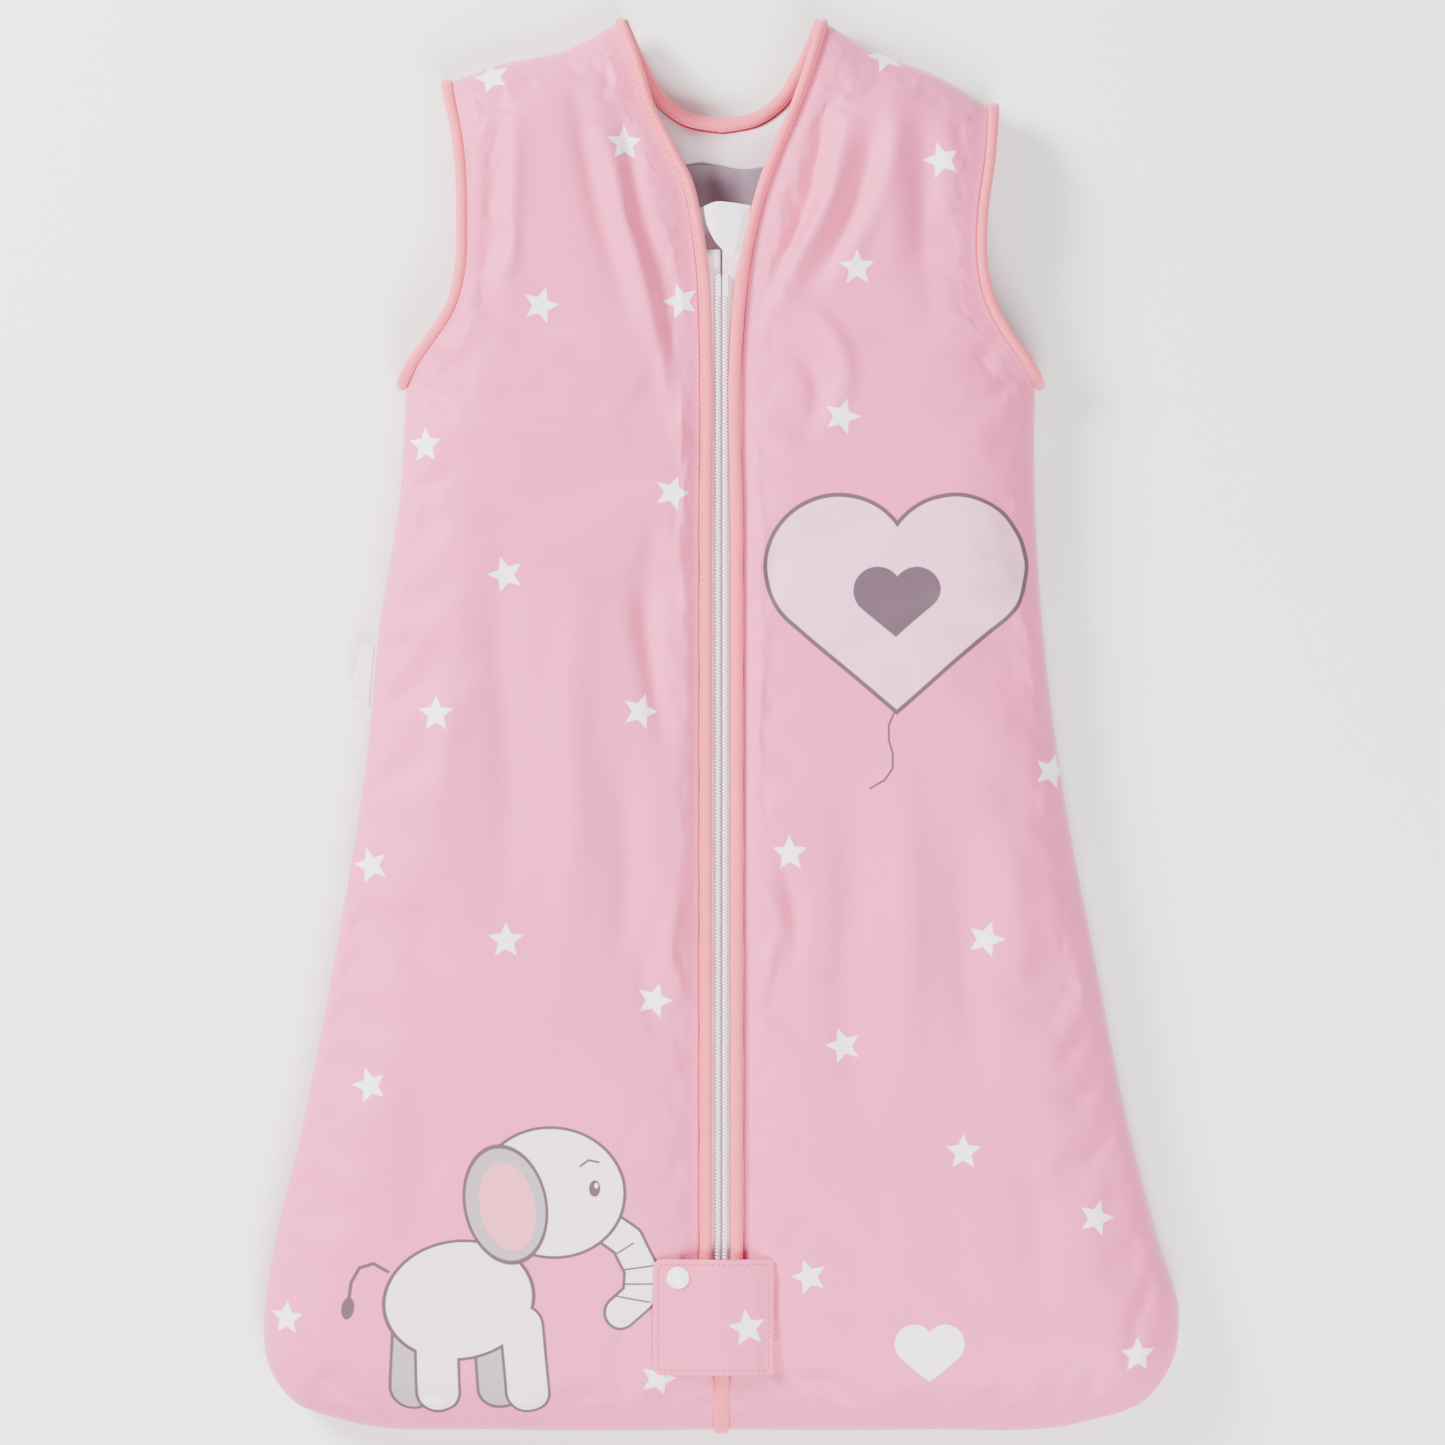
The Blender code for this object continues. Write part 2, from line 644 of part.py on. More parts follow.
# --- flap, snap and small pieces --------------------------------------------------------
def flap_under(point):
    """Underside of the flap: crowned over the slider, down to the front where it is sewn."""
    if point.x > FLAP_CROWN_HALF:
        part = (point.x - FLAP_CROWN_HALF) / (FLAP_X[1] - FLAP_CROWN_HALF)
        return FLAP_PLATEAU_Z + (FLAP_SEWN_Z - FLAP_PLATEAU_Z) * part
    if point.x < -FLAP_CROWN_HALF:
        return FLAP_PLATEAU_Z
    return FLAP_PLATEAU_Z + FLAP_CROWN * math.cos(math.pi * point.x / 2 / FLAP_CROWN_HALF) ** 2


def build_flap():
    """Two layers of cloth over the foot of the zip, sewn along the right edge."""
    left_x, right_x = FLAP_X
    rails = [Path([(x, FLAP_Y[0]), (x, FLAP_Y[1])]) for x in (left_x, right_x)]
    patch = Patch(*rails)
    lower = (flap_under, raised(flap_under, FLAP_CLOTH))
    upper = (raised(flap_under, FLAP_CLOTH + GAP), raised(flap_under, 2 * FLAP_CLOTH + GAP))
    slab("flap_facing", patch, lower, "pale_lining", 20, 1)
    slab("flap_cloth", patch, upper, "pink_jersey", 20, 1)


def build_snap():
    """Plastic snap: cap and socket on the flap, stud on the bag."""
    cloth_top = FLAP_PLATEAU_Z + 2 * FLAP_CLOTH + GAP
    cap_foot = cloth_top + GAP
    cap = [(0.0, cap_foot), (SNAP_CAP_RADIUS, cap_foot), (SNAP_CAP_RADIUS, cap_foot + 0.0006)]
    dome_height = 0.0012
    for step in range(1, 5):
        angle = step / 5 * math.pi / 2
        radius = SNAP_CAP_RADIUS * math.cos(angle)
        cap.append((radius, cap_foot + 0.0006 + dome_height * math.sin(angle)))
    cap.append((0.0, cap_foot + 0.0006 + dome_height))
    turned("snap_cap", cap, SNAP_CENTRE, "snap_plastic")
    ring_top = FLAP_PLATEAU_Z - GAP
    ring_foot = ring_top - 0.0013
    socket = [
        (SNAP_BORE_RADIUS, ring_foot),
        (SNAP_RING_RADIUS, ring_foot),
        (SNAP_RING_RADIUS, ring_top),
        (SNAP_BORE_RADIUS, ring_top),
    ]
    turned("snap_socket", socket, SNAP_CENTRE, "snap_plastic")
    flange_foot = FRONT_TOP_Z + GAP
    flange_top = flange_foot + 0.0007
    stud = [
        (0.0, flange_foot),
        (SNAP_RING_RADIUS, flange_foot),
        (SNAP_RING_RADIUS, flange_top),
        (SNAP_STUD_RADIUS, flange_top),
        (SNAP_STUD_RADIUS, ring_top - GAP),
        (0.0, ring_top - GAP),
    ]
    turned("snap_stud", stud, SNAP_CENTRE, "snap_plastic")


def build_small_cloth():
    """Hem strip, chin guard and the two labels."""
    hem_rails = [Path([(x, HEM_Y), (x, ZIP_JOIN_Y - 4.0)]) for x in (-3.2, 3.2)]
    strip_band = (level(SEAM_Z + GAP), binding_crest)
    slab("hem_strip", Patch(*hem_rails), strip_band, "coral_binding", 1, 10)
    guard = [(9.0, 257.0), (-7.6, 257.0), (-6.8, 250.0), (-4.2, 241.5), (0.0, 236.5),
             (3.4, 232.0), (4.6, 230.0), (8.4, 250.0)]
    outline_plate("chin_guard", guard, (0.0337, 0.0347), "satin_tab")
    neck_label = [(-15.5, 258.5), (13.5, 258.5), (13.5, 279.0), (-15.5, 279.0)]
    outline_plate("neck_label", neck_label, (SEAM_Z + GAP, SEAM_Z + 0.0011), "grey_label")
    side_label = [(-186.0, 14.0), (-175.9, 8.0), (-173.4, 39.0), (-179.5, 41.0)]
    outline_plate("side_label", side_label, (0.0110, 0.0124), "satin_tab")


build_back()
for current_side in (LEFT, RIGHT):
    build_front(current_side)
    build_seams(current_side)
    build_lapel(current_side)
    build_binding(current_side)
    build_armhole(current_side)
    build_zip(current_side)
build_zip_ends()
build_slider()
build_pull()
build_flap()
build_snap()
build_small_cloth()
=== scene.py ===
"""Padded baby sleeping bag with a centre zip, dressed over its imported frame.

Metres, with up as +Z and the head end as +Y. The bag lies flat on its back.
"""

from __future__ import annotations

import logging
import math
from dataclasses import dataclass
from enum import Enum
from typing import Callable, Sequence

import bmesh
import bpy
import numpy as np
from mathutils import Matrix, Vector, noise


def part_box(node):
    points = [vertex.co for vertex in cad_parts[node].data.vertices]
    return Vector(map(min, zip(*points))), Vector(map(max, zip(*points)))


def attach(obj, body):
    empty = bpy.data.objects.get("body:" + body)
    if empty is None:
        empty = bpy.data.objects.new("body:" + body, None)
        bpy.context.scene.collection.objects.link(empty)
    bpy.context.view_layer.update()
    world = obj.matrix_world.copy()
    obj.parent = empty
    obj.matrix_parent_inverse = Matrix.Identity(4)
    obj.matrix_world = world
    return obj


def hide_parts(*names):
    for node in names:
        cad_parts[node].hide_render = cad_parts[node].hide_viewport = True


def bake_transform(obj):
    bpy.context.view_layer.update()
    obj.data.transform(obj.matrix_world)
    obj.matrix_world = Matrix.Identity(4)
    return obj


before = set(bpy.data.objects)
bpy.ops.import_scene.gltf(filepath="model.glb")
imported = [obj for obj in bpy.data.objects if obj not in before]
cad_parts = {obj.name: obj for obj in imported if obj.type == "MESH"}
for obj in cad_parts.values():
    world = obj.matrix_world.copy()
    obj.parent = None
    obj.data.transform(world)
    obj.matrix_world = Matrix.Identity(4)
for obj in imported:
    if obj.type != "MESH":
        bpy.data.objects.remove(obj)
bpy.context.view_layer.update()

LOG = logging.getLogger("sleeping_bag")
MM = 0.001
Plan = Sequence[tuple[float, float]]


class Side(Enum):
    """The two halves of the bag, as the viewer sees them."""

    LEFT = -1.0
    RIGHT = 1.0

    @property
    def word(self) -> str:
        """Name of the side in piece names."""
        return self.name.lower()


# --- cutting plan, in millimetres from the zip line --------------------------------
HEM = {
    Side.LEFT: [(3.6, -353.0), (60.0, -353.6), (111.0, -353.0), (188.0, -348.5)],
    Side.RIGHT: [(3.6, -353.0), (55.0, -353.4), (100.0, -353.0), (182.0, -349.0)],
}
CORNER = {Side.LEFT: (215.0, -338.0), Side.RIGHT: (212.0, -338.0)}
SIDE_EDGE = {
    Side.LEFT: [(227.0, -320.0), (229.0, -300.0), (226.0, -273.0), (209.0, -198.0),
                (192.0, -108.0), (176.0, -3.0), (172.0, 42.0), (160.5, 118.0),
                (158.0, 168.0)],
    Side.RIGHT: [(226.0, -318.0), (229.0, -295.0), (219.0, -260.0), (203.0, -198.0),
                 (188.0, -123.0), (171.0, -33.0), (160.0, 57.0), (156.5, 140.0),
                 (157.0, 168.0)],
}
ARMHOLE = {
    Side.LEFT: [(152.0, 178.0), (143.0, 190.0), (133.0, 205.0), (127.5, 225.0),
                (126.5, 250.0), (128.5, 290.0), (135.0, 321.0)],
    Side.RIGHT: [(151.0, 178.0), (142.0, 190.0), (133.0, 205.0), (127.5, 225.0),
                 (127.0, 250.0), (131.0, 282.0), (133.5, 309.0)],
}
SHOULDER = {
    Side.LEFT: [(53.0, 350.1), (78.0, 337.0), (110.0, 330.0), (135.0, 321.0)],
    Side.RIGHT: [(53.0, 350.1), (73.0, 338.0), (106.0, 325.0), (133.5, 309.0)],
}
FRONT_EDGE = {
    Side.LEFT: [(10.8, -302.0), (10.8, -200.0), (10.8, -60.0), (10.8, 90.0),
                (10.8, 195.0), (12.0, 225.0), (15.0, 248.0), (18.2, 265.0),
                (27.6, 285.0), (38.0, 306.0), (45.5, 330.0), (53.0, 350.1)],
    Side.RIGHT: [(10.8, -302.0), (10.8, -200.0), (10.8, -60.0), (10.8, 90.0),
                 (10.8, 195.0), (13.6, 225.0), (18.4, 250.0), (24.8, 272.0),
                 (30.3, 286.0), (38.3, 304.5), (47.6, 331.0), (53.0, 350.1)],
}
HEM_JOIN = [(3.6, -353.0), (3.6, -330.0), (6.2, -314.0)]
BACK_NECK = [(53.0, 350.1), (42.0, 326.0), (32.0, 310.0), (20.0, 301.0), (0.0, 296.5)]

# --- heights, in millimetres ---------------------------------------------------------
SEAM_Z = 13.2
FRONT_TOP_Z = 36.0
FRONT_UNDER_Z = 24.4
BACK_TOP_Z = 12.0
TOP_ROLL = 40.0
BACK_ROLL = 22.0
FOLD_FOOT = (0.0, -262.0)
FOLD_HEAD = (42.0, 315.0)
FOLD_Z = 36.7
BEND_OUTSIDE = 2.5
BEND_INSIDE = 8.0


# --- lines and areas on the plan -------------------------------------------------------
def smooth_line(points: Plan, step: float = 3.0) -> np.ndarray:
    """A smooth curve through plan points.

    Args:
        points: the points it passes, in millimetres.
        step: longest distance between two samples.

    Returns:
        The samples, one row each.
    """
    knots = np.array(points, float)
    gaps = np.linalg.norm(np.diff(knots, axis=0), axis=1)
    slopes = np.diff(knots, axis=0) / gaps[:, None]
    share = (gaps[:-1] / (gaps[:-1] + gaps[1:]))[:, None]
    tangents = np.vstack([slopes[:1], slopes[:-1] * (1 - share) + slopes[1:] * share, slopes[-1:]])
    parts = []
    for i, gap in enumerate(gaps):
        t = np.linspace(0, 1, max(1, math.ceil(gap / step)), endpoint=False)[:, None]
        parts.append(
            (2 * t**3 - 3 * t**2 + 1) * knots[i]
            + (t**3 - 2 * t**2 + t) * gap * tangents[i]
            + (3 * t**2 - 2 * t**3) * knots[i + 1]
            + (t**3 - t**2) * gap * tangents[i + 1]
        )
    return np.vstack([*parts, knots[-1:]])


def split_at(line: np.ndarray, point: tuple[float, float]) -> tuple[np.ndarray, np.ndarray]:
    """A sampled line cut in two at its sample nearest a point."""
    cut = int(np.argmin(np.linalg.norm(line - np.array(point), axis=1)))
    return line[: cut + 1], line[cut:]


def lengths_along(line: np.ndarray) -> np.ndarray:
    """Distance along a line at each of its samples."""
    return np.concatenate([[0.0], np.cumsum(np.linalg.norm(np.diff(line, axis=0), axis=1))])


def at_shares(line: np.ndarray, shares: np.ndarray) -> np.ndarray:
    """Points of a line at shares of its length, from 0 to 1.

    Args:
        line: the sampled line.
        shares: how far along each point lies.

    Returns:
        One point for each share.
    """
    along = lengths_along(line)
    return np.stack(
        [np.interp(shares * along[-1], along, line[:, k]) for k in range(line.shape[1])], axis=1
    )


def evenly(line: np.ndarray, step: float) -> np.ndarray:
    """A line with its samples an even step apart."""
    count = max(2, round(lengths_along(line)[-1] / step))
    return at_shares(line, np.linspace(0, 1, count + 1))


def normals_of(line: np.ndarray) -> np.ndarray:
    """Unit vectors to the right of a plan line's direction of travel.

    Args:
        line: the sampled line.

    Returns:
        One unit vector for each sample.
    """
    way = np.gradient(line[:, :2], axis=0)
    way /= np.linalg.norm(way, axis=1)[:, None]
    return np.stack([way[:, 1], -way[:, 0]], axis=1)


def on_side(line: np.ndarray, side: Side) -> np.ndarray:
    """A plan line given as distances from the zip, placed on its side."""
    return line * np.array([side.value, 1.0])


def distance_to(points: np.ndarray, *lines: np.ndarray) -> np.ndarray:
    """Shortest distance from each point to any of some lines.

    Args:
        points: plan points, one row each.
        lines: the sampled lines.

    Returns:
        One distance for each point.
    """
    best = np.full(len(points), 1e9)
    for line in lines:
        for a, b in zip(line[:-1], line[1:]):
            run = b - a
            t = np.clip((points - a) @ run / max(run @ run, 1e-9), 0, 1)
            best = np.minimum(best, np.linalg.norm(points - a - t[:, None] * run, axis=1))
    return best


def roll(distance: np.ndarray, radius: float) -> np.ndarray:
    """Quarter round: 0 at the edge, 1 at a radius from it and beyond."""
    return np.sqrt(1 - (1 - np.clip(distance / radius, 0, 1)) ** 2)


def ease(value: np.ndarray) -> np.ndarray:
    """Smooth step from 0 to 1."""
    t = np.clip(value, 0, 1)
    return t * t * (3 - 2 * t)


@dataclass(frozen=True)
class Patch:
    """An area of the plan between four edges that meet at its corners."""

    start: np.ndarray
    end: np.ndarray
    foot: np.ndarray
    head: np.ndarray

    def place(self, u: np.ndarray, v: np.ndarray) -> np.ndarray:
        """Plan points from shares across and along the area.

        Args:
            u: shares from the start edge to the end edge.
            v: shares from the foot to the head.

        Returns:
            The plan points, one row each.
        """
        p, q = at_shares(self.start, v), at_shares(self.end, v)
        f, h = at_shares(self.foot, u), at_shares(self.head, u)
        u, v = u[:, None], v[:, None]
        corners = (
            (1 - u) * (1 - v) * self.foot[0] + u * (1 - v) * self.foot[-1]
            + (1 - u) * v * self.head[0] + u * v * self.head[-1]
        )
        return (1 - u) * p + u * q + (1 - v) * f + v * h - corners


@dataclass(frozen=True)
class Outline:
    """The smooth edges of one half of the bag."""

    side: Side

    def seams(self) -> tuple[np.ndarray, np.ndarray]:
        """Hem and side, each running away from the zip's foot.

        Returns:
            The two sampled lines.
        """
        whole = smooth_line([*HEM[self.side], CORNER[self.side], *SIDE_EDGE[self.side]])
        hem, flank = split_at(whole, CORNER[self.side])
        return on_side(hem, self.side), on_side(flank, self.side)

    def armhole(self) -> np.ndarray:
        """Cloth edge of the armhole, from the side seam to the shoulder tip."""
        points = [SIDE_EDGE[self.side][-1], *ARMHOLE[self.side]]
        return on_side(smooth_line(points), self.side)

    def shoulder(self) -> np.ndarray:
        """Shoulder seam, from the neck point outward."""
        return on_side(smooth_line(SHOULDER[self.side]), self.side)

    def front_edge(self) -> np.ndarray:
        """Bound cloth edge, from the foot of the zip to the neck point."""
        return on_side(smooth_line(FRONT_EDGE[self.side]), self.side)

    def back_neck(self) -> np.ndarray:
        """Bound edge of the back's neck, from the neck point to the middle."""
        return on_side(smooth_line(BACK_NECK, 2.0), self.side)

    def seam_distance(self, points: np.ndarray) -> np.ndarray:
        """Distance from plan points to the closed seams of this half."""
        return distance_to(points, *self.seams(), self.shoulder())

    def front_patch(self) -> Patch:
        """The whole front of this half.

        Returns:
            The area from the front edge to the side.
        """
        hem, flank = self.seams()
        inner = np.vstack([on_side(smooth_line(HEM_JOIN), self.side), self.front_edge()])
        return Patch(inner, np.vstack([flank, self.armhole()[1:]]), hem, self.shoulder())


def back_patch() -> Patch:
    """The whole back, from the left side to the right side.

    Returns:
        The area between both sides, the hem and the shoulders.
    """
    left, right = Outline(Side.LEFT), Outline(Side.RIGHT)
    edges = []
    for half in (left, right):
        edges.append(np.vstack([half.seams()[1], half.armhole()[1:]]))
    foot = np.vstack([left.seams()[0][::-1], right.seams()[0]])
    head = np.vstack([
        left.shoulder()[::-1], left.back_neck()[1:-1],
        right.back_neck()[::-1], right.shoulder()[1:],
    ])
    return Patch(edges[0], edges[1], foot, head)


# --- folds in the cloth -----------------------------------------------------------------
@dataclass(frozen=True)
class Fold:
    """A soft ridge (height above 0) or valley along a line, in millimetres."""

    line: Plan
    width: float
    height: float

    def lift(self, points: np.ndarray) -> np.ndarray:
        """How far the fold moves the cloth at plan points.

        Args:
            points: plan points, one row each.

        Returns:
            One height for each point, in millimetres.
        """
        path = smooth_line(self.line, 4.0) if len(self.line) > 2 else np.array(self.line, float)
        best = np.full(len(points), 1e9)
        fade = np.zeros(len(points))
        along = lengths_along(path)
        for i, (a, b) in enumerate(zip(path[:-1], path[1:])):
            run = b - a
            t = np.clip((points - a) @ run / (run @ run), 0, 1)
            gap = np.linalg.norm(points - a - t[:, None] * run, axis=1)
            share = (along[i] + t * (along[i + 1] - along[i])) / along[-1]
            nearer = gap < best
            best = np.where(nearer, gap, best)
            fade = np.where(nearer, np.sin(np.pi * np.clip(share, 0.02, 0.98)) ** 0.7, fade)
        return self.height * fade * np.exp(-((best / self.width) ** 2))


FOLDS = {
    Side.LEFT: [
        Fold([(-17, 175), (-18, 100), (-16, 20), (-17, -60), (-16, -150)], 5, 1.5),
        Fold([(-33, 100), (-37, 60), (-33, 20), (-27, -14)], 6, -3.4),
        Fold([(-50, 306), (-42, 262), (-31, 222), (-22, 172)], 5, -3.0),
        Fold([(-60, 300), (-51, 260), (-39, 215), (-27, 165)], 5, 2.6),
        Fold([(-74, 320), (-67, 285), (-56, 240), (-44, 200)], 6, -2.2),
        Fold([(-147, 147), (-100, 148), (-50, 142), (-18, 140)], 6, 2.0),
        Fold([(-145, 118), (-100, 111), (-55, 116), (-22, 108)], 7, -2.2),
        Fold([(-142, 100), (-110, 95), (-70, 101)], 4, -1.5),
        Fold([(-107, 92), (-110, 40), (-105, -20), (-108, -96)], 9, -2.4),
        Fold([(-132, 62), (-136, 0), (-140, -66)], 9, 2.0),
        Fold([(-70, 72), (-75, 10), (-73, -50), (-80, -125)], 10, 2.4),
        Fold([(-50, -14), (-46, -70), (-50, -136)], 8, -2.2),
        Fold([(-21, -80), (-26, -106), (-20, -140)], 5, 1.8),
        Fold([(-28, -96), (-38, -120), (-30, -160)], 5, -1.8),
        Fold([(-113, 304), (-114, 250), (-119, 200)], 4.5, -2.2),
        Fold([(-102, 306), (-104, 240), (-108, 196)], 5, 1.7),
        Fold([(-191, -116), (-176, -90)], 2.8, -2.2),
        Fold([(-197, -142), (-180, -110)], 2.8, -2.4),
        Fold([(-203, -168), (-185, -134)], 3.0, -2.6),
        Fold([(-208, -192), (-191, -160)], 2.8, -2.2),
        Fold([(-214, -218), (-198, -190)], 3.0, -2.0),
        Fold([(-219, -246), (-204, -222)], 3.0, -1.7),
        Fold([(-170, 34), (-150, 44)], 3.0, -1.5),
        Fold([(-173, 4), (-152, 18)], 3.0, -1.5),
        Fold([(-178, -40), (-160, -20)], 3.0, -1.4),
        Fold([(-154, 172), (-133, 158)], 3.2, -2.0),
        Fold([(-146, 186), (-126, 172)], 3.2, -1.8),
        Fold([(-160, 110), (-140, 122), (-120, 126)], 3.4, -1.5),
        Fold([(-150, -170), (-146, -220), (-152, -262)], 9, -1.6),
        Fold([(-40, -290), (-50, -310), (-46, -335)], 5, -1.5),
        Fold([(-118, 205), (-95, 196), (-70, 200)], 6, -1.2),
    ],
    Side.RIGHT: [
        Fold([(17, 150), (18, 60), (16, -40), (17, -135)], 5, 1.5),
        Fold([(55, 316), (42, 262), (25, 208)], 4.5, -3.2),
        Fold([(66, 306), (52, 255), (33, 218), (23, 196)], 5, 3.0),
        Fold([(78, 298), (62, 250), (42, 212)], 4.5, -2.4),
        Fold([(88, 300), (74, 250), (54, 214)], 5, 1.8),
        Fold([(34, 210), (52, 198), (62, 172), (50, 148)], 4, 2.2),
        Fold([(28, 190), (43, 179), (48, 158), (38, 140)], 3.6, -2.2),
        Fold([(30, 150), (52, 140), (82, 146)], 4.5, -1.6),
        Fold([(84, 322), (86, 270), (83, 222)], 7, 1.8),
        Fold([(101, 308), (101, 250), (104, 200)], 7, -2.0),
        Fold([(154, 119), (134, 110), (110, 113)], 3.0, -2.0),
        Fold([(155, 104), (136, 96), (114, 99)], 3.0, -2.0),
        Fold([(155, 90), (140, 84), (122, 86)], 3.0, -1.6),
        Fold([(156, 72), (140, 66), (126, 69)], 3.0, -1.6),
        Fold([(60, -18), (66, -70), (62, -130), (70, -206)], 9, -2.2),
        Fold([(88, -18), (93, -90), (90, -176)], 9, 2.2),
        Fold([(118, -40), (122, -110), (126, -186)], 9, -1.9),
        Fold([(141, -60), (149, -136)], 8, 1.7),
        Fold([(20, -76), (28, -98), (24, -120), (19, -140)], 4, 2.2),
        Fold([(24, -56), (36, -90), (33, -128)], 4.5, -2.2),
        Fold([(178, -126), (164, -142)], 3.0, -2.2),
        Fold([(182, -150), (167, -168)], 3.0, -2.2),
        Fold([(188, -172), (173, -192)], 3.0, -2.0),
        Fold([(194, -200), (180, -222)], 3.0, -1.6),
        Fold([(29, -258), (46, -248), (64, -257)], 3.6, -2.0),
        Fold([(30, -272), (46, -264), (58, -268)], 3.2, 1.6),
        Fold([(30, -300), (52, -288), (70, -292)], 3.6, -1.5),
        Fold([(151, 178), (131, 160)], 3.2, -2.0),
        Fold([(142, 191), (122, 176)], 3.2, -1.7),
        Fold([(150, -210), (158, -250), (150, -290)], 9, -1.6),
        Fold([(112, 205), (92, 192), (70, 190)], 6, -1.3),
    ],
}
HEM_PUCKERS = 15
HEM_PUCKER_STEP = 13.0
HEM_PUCKER_FOOT = -352.0
FOLD_DEPTH = 1.85


def hem_puckers(side: Side) -> list[Fold]:
    """Short gathers where the padding is caught in the hem.

    Args:
        side: the half of the bag.

    Returns:
        The gathers, as narrow valleys.
    """
    folds = []
    for i in range(HEM_PUCKERS):
        x = side.value * (16.0 + HEM_PUCKER_STEP * i + 3.0 * math.sin(2.3 * i))
        lean = 3.0 * math.sin(1.7 * i + side.value)
        reach = 13.0 + 5.0 * math.sin(3.1 * i)
        line = [(x, HEM_PUCKER_FOOT), (x + lean, HEM_PUCKER_FOOT + reach)]
        folds.append(Fold(line, 2.6, -1.3))
    return folds


def soft_noise(points: np.ndarray, size: float, seed: float) -> np.ndarray:
    """Smooth noise from -1 to 1 over the plan, for bumps of a size."""
    return np.array([noise.noise(Vector((x / size, y / size, seed))) for x, y in points])


# --- meshes -------------------------------------------------------------------------------
def finish_mesh(bm: bmesh.types.BMesh, name: str, material: bpy.types.Material) -> bpy.types.Object:
    """Turns a bmesh into a smooth-shaded object with one material.

    Args:
        bm: the shape, in metres; it is freed.
        name: the piece's name.
        material: its finish.

    Returns:
        The new object, at the origin.
    """
    for face in bm.faces:
        face.smooth = True
    mesh = bpy.data.meshes.new(name)
    bm.to_mesh(mesh)
    bm.free()
    mesh.materials.append(material)
    piece = bpy.data.objects.new(name, mesh)
    bpy.context.scene.collection.objects.link(piece)
    return piece


def subdivide(piece: bpy.types.Object, levels: int = 1) -> None:
    """Adds a subdivision surface that is the same on screen and in the render.

    Args:
        piece: the piece, which keeps the modifier.
        levels: how many times its faces are divided.
    """
    modifier = piece.modifiers.new("smooth", "SUBSURF")
    modifier.levels = levels
    modifier.render_levels = levels


def crowd_ends(share: np.ndarray, amount: float) -> np.ndarray:
    """Moves even shares towards both ends, so that rims get more rows."""
    return share - amount * np.sin(2 * np.pi * share) / (2 * np.pi)


HeightRule = Callable[[np.ndarray], np.ndarray]


def slab(
    name: str,
    patch: Patch,
    faces: tuple[int, int],
    top: HeightRule,
    under: HeightRule,
    material: bpy.types.Material,
    u_span: tuple[float, float] = (0.0, 1.0),
    v_span: tuple[float, float] = (0.0, 1.0),
    crowd: float = 0.0,
    star_centres: Sequence[tuple[float, float, float]] = (),
) -> bpy.types.Object:
    """A closed layer over an area of the plan.

    Args:
        name: the piece's name.
        patch: the plan area.
        faces: how many faces across and along.
        top: upper height, in millimetres, at plan points.
        under: lower height.
        material: the finish.
        u_span: part of the area's width that is covered.
        v_span: part of its length.
        crowd: how far the rows gather at the rims, from 0 to below 1.
        star_centres: x, y and turn of each printed star.

    Returns:
        The piece, with the flat plan kept in its UV map "print".
    """
    bm = bmesh.new()
    bmesh.ops.create_grid(bm, x_segments=faces[0], y_segments=faces[1], size=0.5)
    shares = np.array([(v.co.x + 0.5, v.co.y + 0.5) for v in bm.verts])
    u = u_span[0] + (u_span[1] - u_span[0]) * crowd_ends(shares[:, 0], crowd)
    v = v_span[0] + (v_span[1] - v_span[0]) * crowd_ends(shares[:, 1], crowd)
    plan = patch.place(u, v)
    low = list(bm.verts)
    result = bmesh.ops.extrude_face_region(bm, geom=list(bm.faces))
    high = [item for item in result["geom"] if isinstance(item, bmesh.types.BMVert)]
    where = {tuple(np.round(v.co[:2], 6)): i for i, v in enumerate(low)}
    order = [where[tuple(np.round(v.co[:2], 6))] for v in high]
    z_low, z_high = under(plan), top(plan)
    for i, vert in enumerate(low):
        vert.co = Vector((plan[i, 0], plan[i, 1], z_low[i])) * MM
    for i, vert in zip(order, high):
        vert.co = Vector((plan[i, 0], plan[i, 1], z_high[i])) * MM
    bmesh.ops.recalc_face_normals(bm, faces=list(bm.faces))
    flat = bm.loops.layers.uv.new("print")
    stars = bm.loops.layers.uv.new("star") if star_centres else None
    centres = np.array(star_centres) if star_centres else None
    for face in bm.faces:
        middle = face.calc_center_median() / MM
        if stars is not None:
            near = int(np.argmin(np.hypot(centres[:, 0] - middle.x, centres[:, 1] - middle.y)))
            cx, cy, turn = centres[near]
            c, s = math.cos(turn), math.sin(turn)
        for loop in face.loops:
            x, y = loop.vert.co.x / MM, loop.vert.co.y / MM
            loop[flat].uv = (x * MM, y * MM)
            if stars is not None:
                dx, dy = x - cx, y - cy
                loop[stars].uv = ((c * dx + s * dy) * MM, (c * dy - s * dx) * MM)
    return finish_mesh(bm, name, material)


